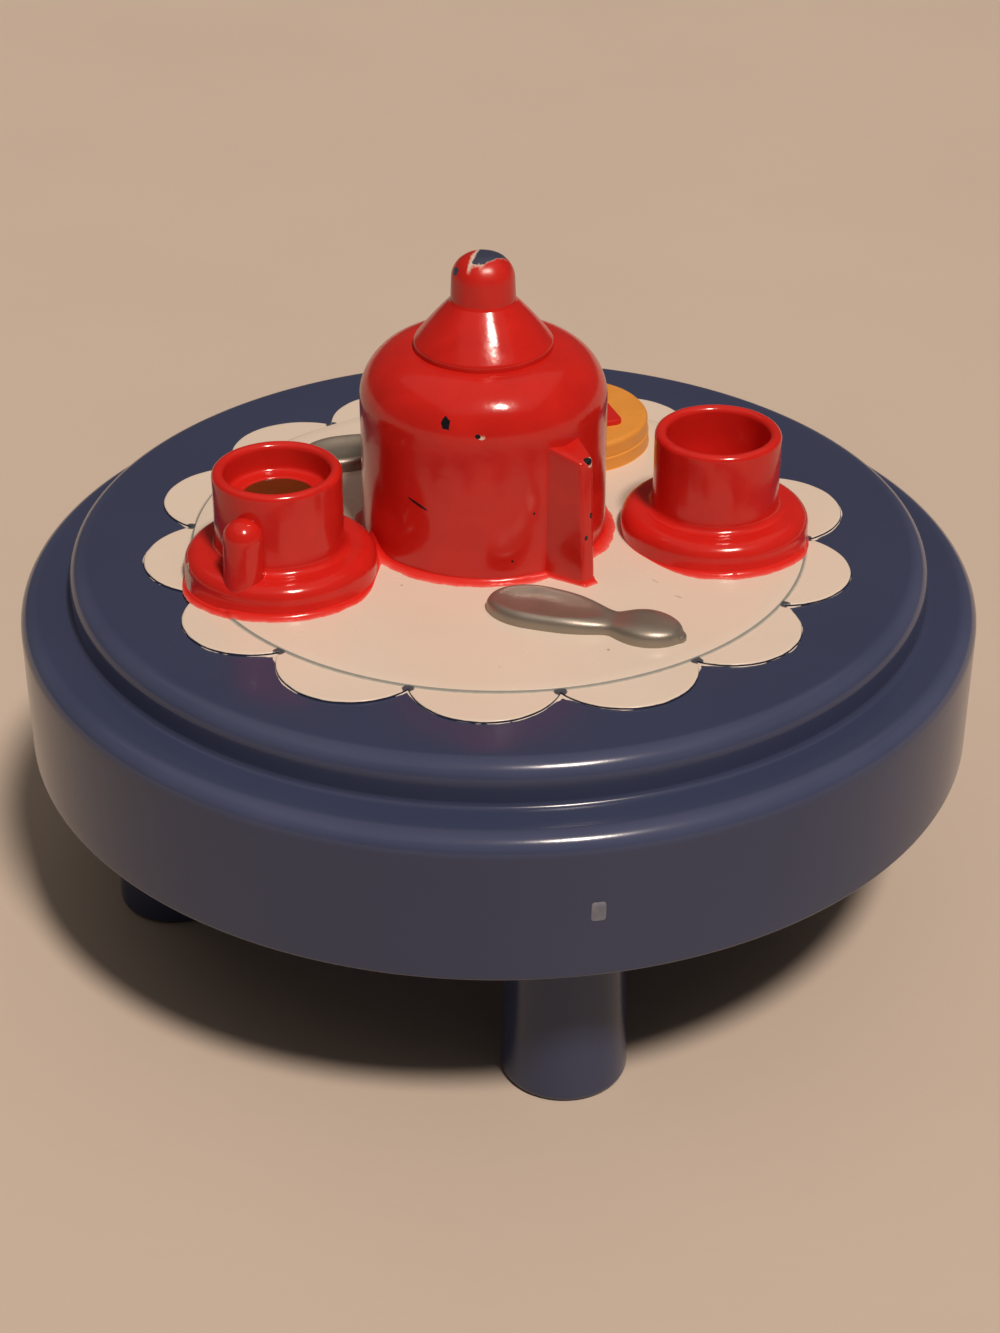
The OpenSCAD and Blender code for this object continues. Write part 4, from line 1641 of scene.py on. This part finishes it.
@dataclass
class Spoon:
    """A moulded spoon: a dished bowl that tapers to a neck, a domed bulb and a scrap of flash."""

    node: str
    turn: float
    gap: float
    lie: float
    length: float = 14.75
    bowl_l: float = 7.0
    taper_l: float = 5.8
    bowl_w: float = 4.9
    bowl_h: float = 1.25
    bowl_depth: float = 0.65
    bowl_rim: float = 0.35
    neck_w: float = 2.55
    neck_h: float = 0.9
    bulb_l: float = 5.8
    bulb_w: float = 3.95
    bulb_h: float = 1.25
    bulb_swing: float = 0.35
    flash_l: float = 0.35
    flash_w: float = 1.5
    flash_h: float = 0.5
    blend_power: float = 4
    end_round: float = 0.5
    side_round: float = 0.55
    stations: int = 110
    top_sides: int = 60
    base_sides: int = 12

    def form(self) -> Surface:
        """Lofts the sections along the spoon.

        Width and height are the fourth-power blend of ovals and a straight neck. A section is a flattened
        superellipse, y = w cos(t)^0.55 and z = h sin(t)^0.55, less the bowl's parabolic dish. Towards the
        bulb the sections swing a little to the near side, along a smooth step.

        Returns:
            The spoon along +X, with its bowl at the origin.
        """
        start, end = -self.bowl_l / 2, self.length - self.bowl_l / 2
        x = start + self.length / 2 * (1 - np.cos(np.linspace(0, np.pi, self.stations + 2)[1:-1]))[:, None]
        bulb_x, bulb_half = end - self.bulb_l / 2, self.bulb_l / 2 - self.flash_l
        bowl_half = np.where(x < 0, self.bowl_l / 2, self.taper_l)

        def oval(middle: float, half: Array | float) -> Array:
            """Gives the height of a unit circle stretched along the spoon, zero outside it."""
            return np.sqrt(np.clip(1 - ((x - middle) / half) ** 2, 0, 1))

        bowl, bulb = oval(0, bowl_half), oval(bulb_x, bulb_half)
        flash = oval(end - 2 * self.flash_l, 2 * self.flash_l)
        neck = 4 * np.clip(x / self.bowl_l, 0, 0.5) * np.clip((bulb_x - x) / self.bulb_l, 0, 0.5)
        neck = neck * (2 - neck)

        def blend(sizes: Sequence[float], power: Array | float) -> Array:
            """Blends sizes of bowl, bulb, flash and neck, with the ovals raised to a power."""
            shares = (bowl ** power, bulb ** power, flash ** power, neck)
            parts = np.stack([size * share for size, share in zip(sizes, shares)])
            return (parts ** self.blend_power).sum(axis=0) ** (1 / self.blend_power)

        width = blend((self.bowl_w, self.bulb_w, self.flash_w, self.neck_w), 1) / 2
        blunt = np.where((x < 0) | (x > bulb_x), self.end_round, 1.0)
        height = blend((self.bowl_h, self.bulb_h, self.flash_h, self.neck_h), blunt)
        t = np.concatenate([
            np.linspace(0, np.pi, self.top_sides), np.linspace(np.pi, TURN, self.base_sides)[1:-1]])[None]
        y = width * signed_power(np.cos(t), self.side_round)
        up = np.where(np.sin(t) > 0, np.abs(np.sin(t)) ** self.side_round, 0)
        across = y / (self.bowl_w / 2 - self.bowl_rim)
        dish = smooth(np.clip(1 - (x / (bowl_half - self.bowl_rim)) ** 2 - across ** 2, 0, 1))
        z = height * up - np.where(up > 0, self.bowl_depth * dish, 0)
        swing = self.bulb_swing * smooth(np.clip(x / bulb_x, 0, 1))
        rings = np.stack([x + 0 * y, y - swing, z], axis=-1)
        return ring_surface(rings, (start, 0, 0), (end, -self.bulb_swing, 0))

    def build(self, paint: bpy.types.Material, pot: Teapot) -> None:
        """Makes the spoon beside the teapot.

        Args:
            paint: the silver paint.
            pot: the teapot that the spoon's place is measured from.
        """
        place = pot.body_box.axis + (pot.body_box.radius + self.gap) * heading(self.turn)
        surface = self.form().turned(self.lie).moved((*place, pot.base))
        add_piece(f"silver_{self.node}", surface, paint, "spoon_silver", [self.node], sharp=70)


@dataclass
class Biscuit:
    """The round biscuit with a square of jam in its middle."""

    doily: Doily
    edge_r: float = 0.4
    jam_side: float = 7.4
    jam_corner_r: float = 0.7
    jam_turn: float = 8
    jam_round: float = 0.25
    jam_swell: float = 0.02
    jam_least: float = 0.2
    skirt_w: float = 0.5
    skirt_h: float = 0.12
    skirt_share: float = 0.9
    skirt_round: float = 0.03
    skirt_cove: float = 0.2
    tier_w: float = 0.12
    tier_h: float = 1.15
    tier_step: float = 0.06
    tier_round: float = 0.05
    sway: float = 0.05
    box: NodeBox = box_of("biscuit")
    jam_box: NodeBox = box_of("biscuit_jam")

    def round(self) -> Surface:
        """Revolves the biscuit: two tiers, the lower one a little wider, and a skirt of paint at the foot.

        Returns:
            The biscuit in its place, down to the doily's lobes.
        """
        r, base, top = self.box.radius, self.doily.lobe_top, self.box.top
        profile = filleted([
            (0, base, 0),
            (r + self.skirt_w, base, 0),
            (r + self.skirt_w * self.skirt_share, base + self.skirt_h / 2, self.skirt_round),
            (r + self.tier_w, base + self.skirt_h, self.skirt_cove),
            (r + self.tier_w, base + self.tier_h, self.tier_round),
            (r, base + self.tier_h + self.tier_step, self.tier_round),
            (r, top, self.edge_r),
            (0, top, 0),
        ], arc_steps=14, span=0.5)
        return revolved(profile, 128, self.sway, 4.0).moved((*self.box.axis, 0))

    def jam(self) -> Surface:
        """Stacks rounded squares, drawn in at the top, into a low pad.

        With the corner's centre at (f, f) and its radius k, the corner has
        r = f (c + s) + sqrt(f^2 (c + s)^2 - 2 f^2 + k^2), for the greater c and the lesser s of |cos t| and
        |sin t|, and a side has half / c.

        Returns:
            The pad in its place.
        """
        angle = np.linspace(0, TURN, 160, endpoint=False)
        half, corner = self.jam_side / 2, self.jam_corner_r
        flat = half - corner
        small, big = np.sort(np.abs([np.cos(angle), np.sin(angle)]), axis=0)
        along = flat * (big + small)
        corner_r = along + np.sqrt(np.maximum(along ** 2 - (2 * flat ** 2 - corner ** 2), 0))
        radius = np.where(small * half > flat * big, corner_r, half / big)
        bend = np.linspace(0, np.pi / 2, 6)
        top, low = self.jam_box.top, self.jam_box.bottom
        tip = top + self.jam_swell
        inset = np.concatenate([[0], self.jam_round * (1 - np.cos(bend)), [1.0, 2.0]])[:, None]
        height = np.concatenate([[low], top - self.jam_round * (1 - np.sin(bend)), [top, tip]])[:, None]
        rings = around(np.maximum(radius - inset, self.jam_least), angle, height)
        surface = ring_surface(rings, (0, 0, low), (0, 0, tip))
        return surface.turned(self.jam_turn).moved((*self.box.axis, 0))

    def build(self) -> None:
        """Makes the biscuit and its jam."""
        gold = MottledPaint(
            "golden_satin_paint", "#e7a147", "#d98f36", mottle_mm=2.2, grain_mm=0.6, rough=0.42,
            bump_mm=0.08,
        ).build()
        add_piece("tea_biscuit", self.round(), gold, "biscuit_gold", ["biscuit"])
        red = RedEnamel("jam_red_enamel").build()
        add_piece("tea_biscuit_jam", self.jam(), red, "jam_red", ["biscuit_jam"])


@dataclass
class Studio:
    """Floor, lamps, world and the camera, placed as the photograph was taken."""

    frame_h_px: float = 1333
    focal_px: float = 2466
    sensor: float = 36
    swing: float = 10.4
    camera_place: Point = (0, -164.4, 117.5)
    camera_aim: Point = (0.1, 0, 18.1)
    floor_size: float = 1600
    warm: str = "#ffedde"
    key_place: Point = (330, -680, 1300)
    key_spread: float = 9
    key_strength: float = 2.8
    ceiling_up: float = 1300
    ceiling_size: float = 2200
    ceiling_power: float = 4
    room_strength: float = 0.07

    def turned(self, right: float, back: float, up: float) -> Vector:
        """Gives a point in metres from photograph axes: right, away from the camera, and up."""
        c, s = heading(-self.swing)
        return Vector((right * c - back * s, right * s + back * c, up)) * MM

    def aimed(self, name: str, data: bpy.types.ID, place: Vector, target: Vector) -> bpy.types.Object:
        """Puts a lamp or camera into the scene.

        Args:
            name: the object's name.
            data: the lamp or camera.
            place: its place in metres.
            target: the point that it looks at.

        Returns:
            The new object.
        """
        thing = bpy.data.objects.new(name, data)
        thing.location = place
        thing.rotation_euler = (target - place).to_track_quat("-Z", "Y").to_euler()
        bpy.context.scene.collection.objects.link(thing)
        return thing

    def lamp(self, name: str, kind: str, place: Vector, strength: float) -> bpy.types.Light:
        """Adds a warm lamp that looks at the origin.

        Args:
            name: the lamp's name.
            kind: Blender's name of its kind.
            place: its place in metres; for a sun, a point on the line to it.
            strength: watts, or watts per square metre for a sun.

        Returns:
            The lamp.
        """
        data = bpy.data.lights.new(name, kind)
        data.energy, data.color = strength, linear(self.warm)[:3]
        self.aimed(name, data, place, Vector())
        return data

    def floor(self) -> None:
        """Lays the pale painted board that the table stands on."""
        half = self.floor_size / 2
        corners = np.array([[-half, -half, 0], [half, -half, 0], [half, half, 0], [-half, half, 0]])
        floor = Surface(corners, np.array([[0, 1, 2, 3]]), np.zeros((0, 3), dtype=int))
        sheet = MottledPaint(
            "pale_painted_board", "#d0c2b4", "#c9bbad", mottle_mm=40, grain_mm=1.5, rough=0.55,
            bump_mm=0.05,
        ).build()
        add_piece("floor", floor, sheet)

    def light(self) -> None:
        """Adds the far key lamp, the wide ceiling lamp and the room's faint glow."""
        key = self.lamp("key", "SUN", self.turned(*self.key_place), self.key_strength)
        key.angle = np.radians(self.key_spread)
        ceiling = self.lamp("ceiling", "AREA", self.turned(0, 0, self.ceiling_up), self.ceiling_power)
        ceiling.size = self.ceiling_size * MM
        world = bpy.data.worlds.new("pale_room")
        world.use_nodes = True
        sky = world.node_tree.nodes["Background"]
        sky.inputs["Color"].default_value = linear(self.warm)
        sky.inputs["Strength"].default_value = self.room_strength
        bpy.context.scene.world = world
        bpy.context.scene.view_settings.view_transform = "Standard"

    def camera(self) -> None:
        """Sets the camera that the photograph's outlines were fitted with."""
        data = bpy.data.cameras.new("photo_camera")
        data.sensor_fit, data.sensor_height = "VERTICAL", self.sensor
        data.lens = self.focal_px / self.frame_h_px * self.sensor
        data.clip_start = MM
        bpy.context.scene.camera = self.aimed(
            "photo_camera", data, self.turned(*self.camera_place), self.turned(*self.camera_aim))

    def build(self) -> None:
        """Makes the stage, the light and the camera."""
        self.floor()
        self.light()
        self.camera()


def main() -> None:
    """Builds the stage and every sub-assembly."""
    logging.basicConfig(level=logging.INFO, format="%(name)s %(message)s")
    Studio().build()
    Table().build()
    doily = Doily()
    doily.build()
    pot = Teapot(doily)
    pot.build()
    for side in Side:
        PlaceSetting(side, doily).build()
    silver = SilverPaint("silver_flake_paint").build()
    Spoon("spoon_front", turn=-85.1, gap=4.65, lie=-29.5).build(silver, pot)
    Spoon("spoon_back", turn=125.2, gap=6.8, lie=9).build(silver, pot)
    Biscuit(doily).build()


if __name__ == "__main__":
    main()
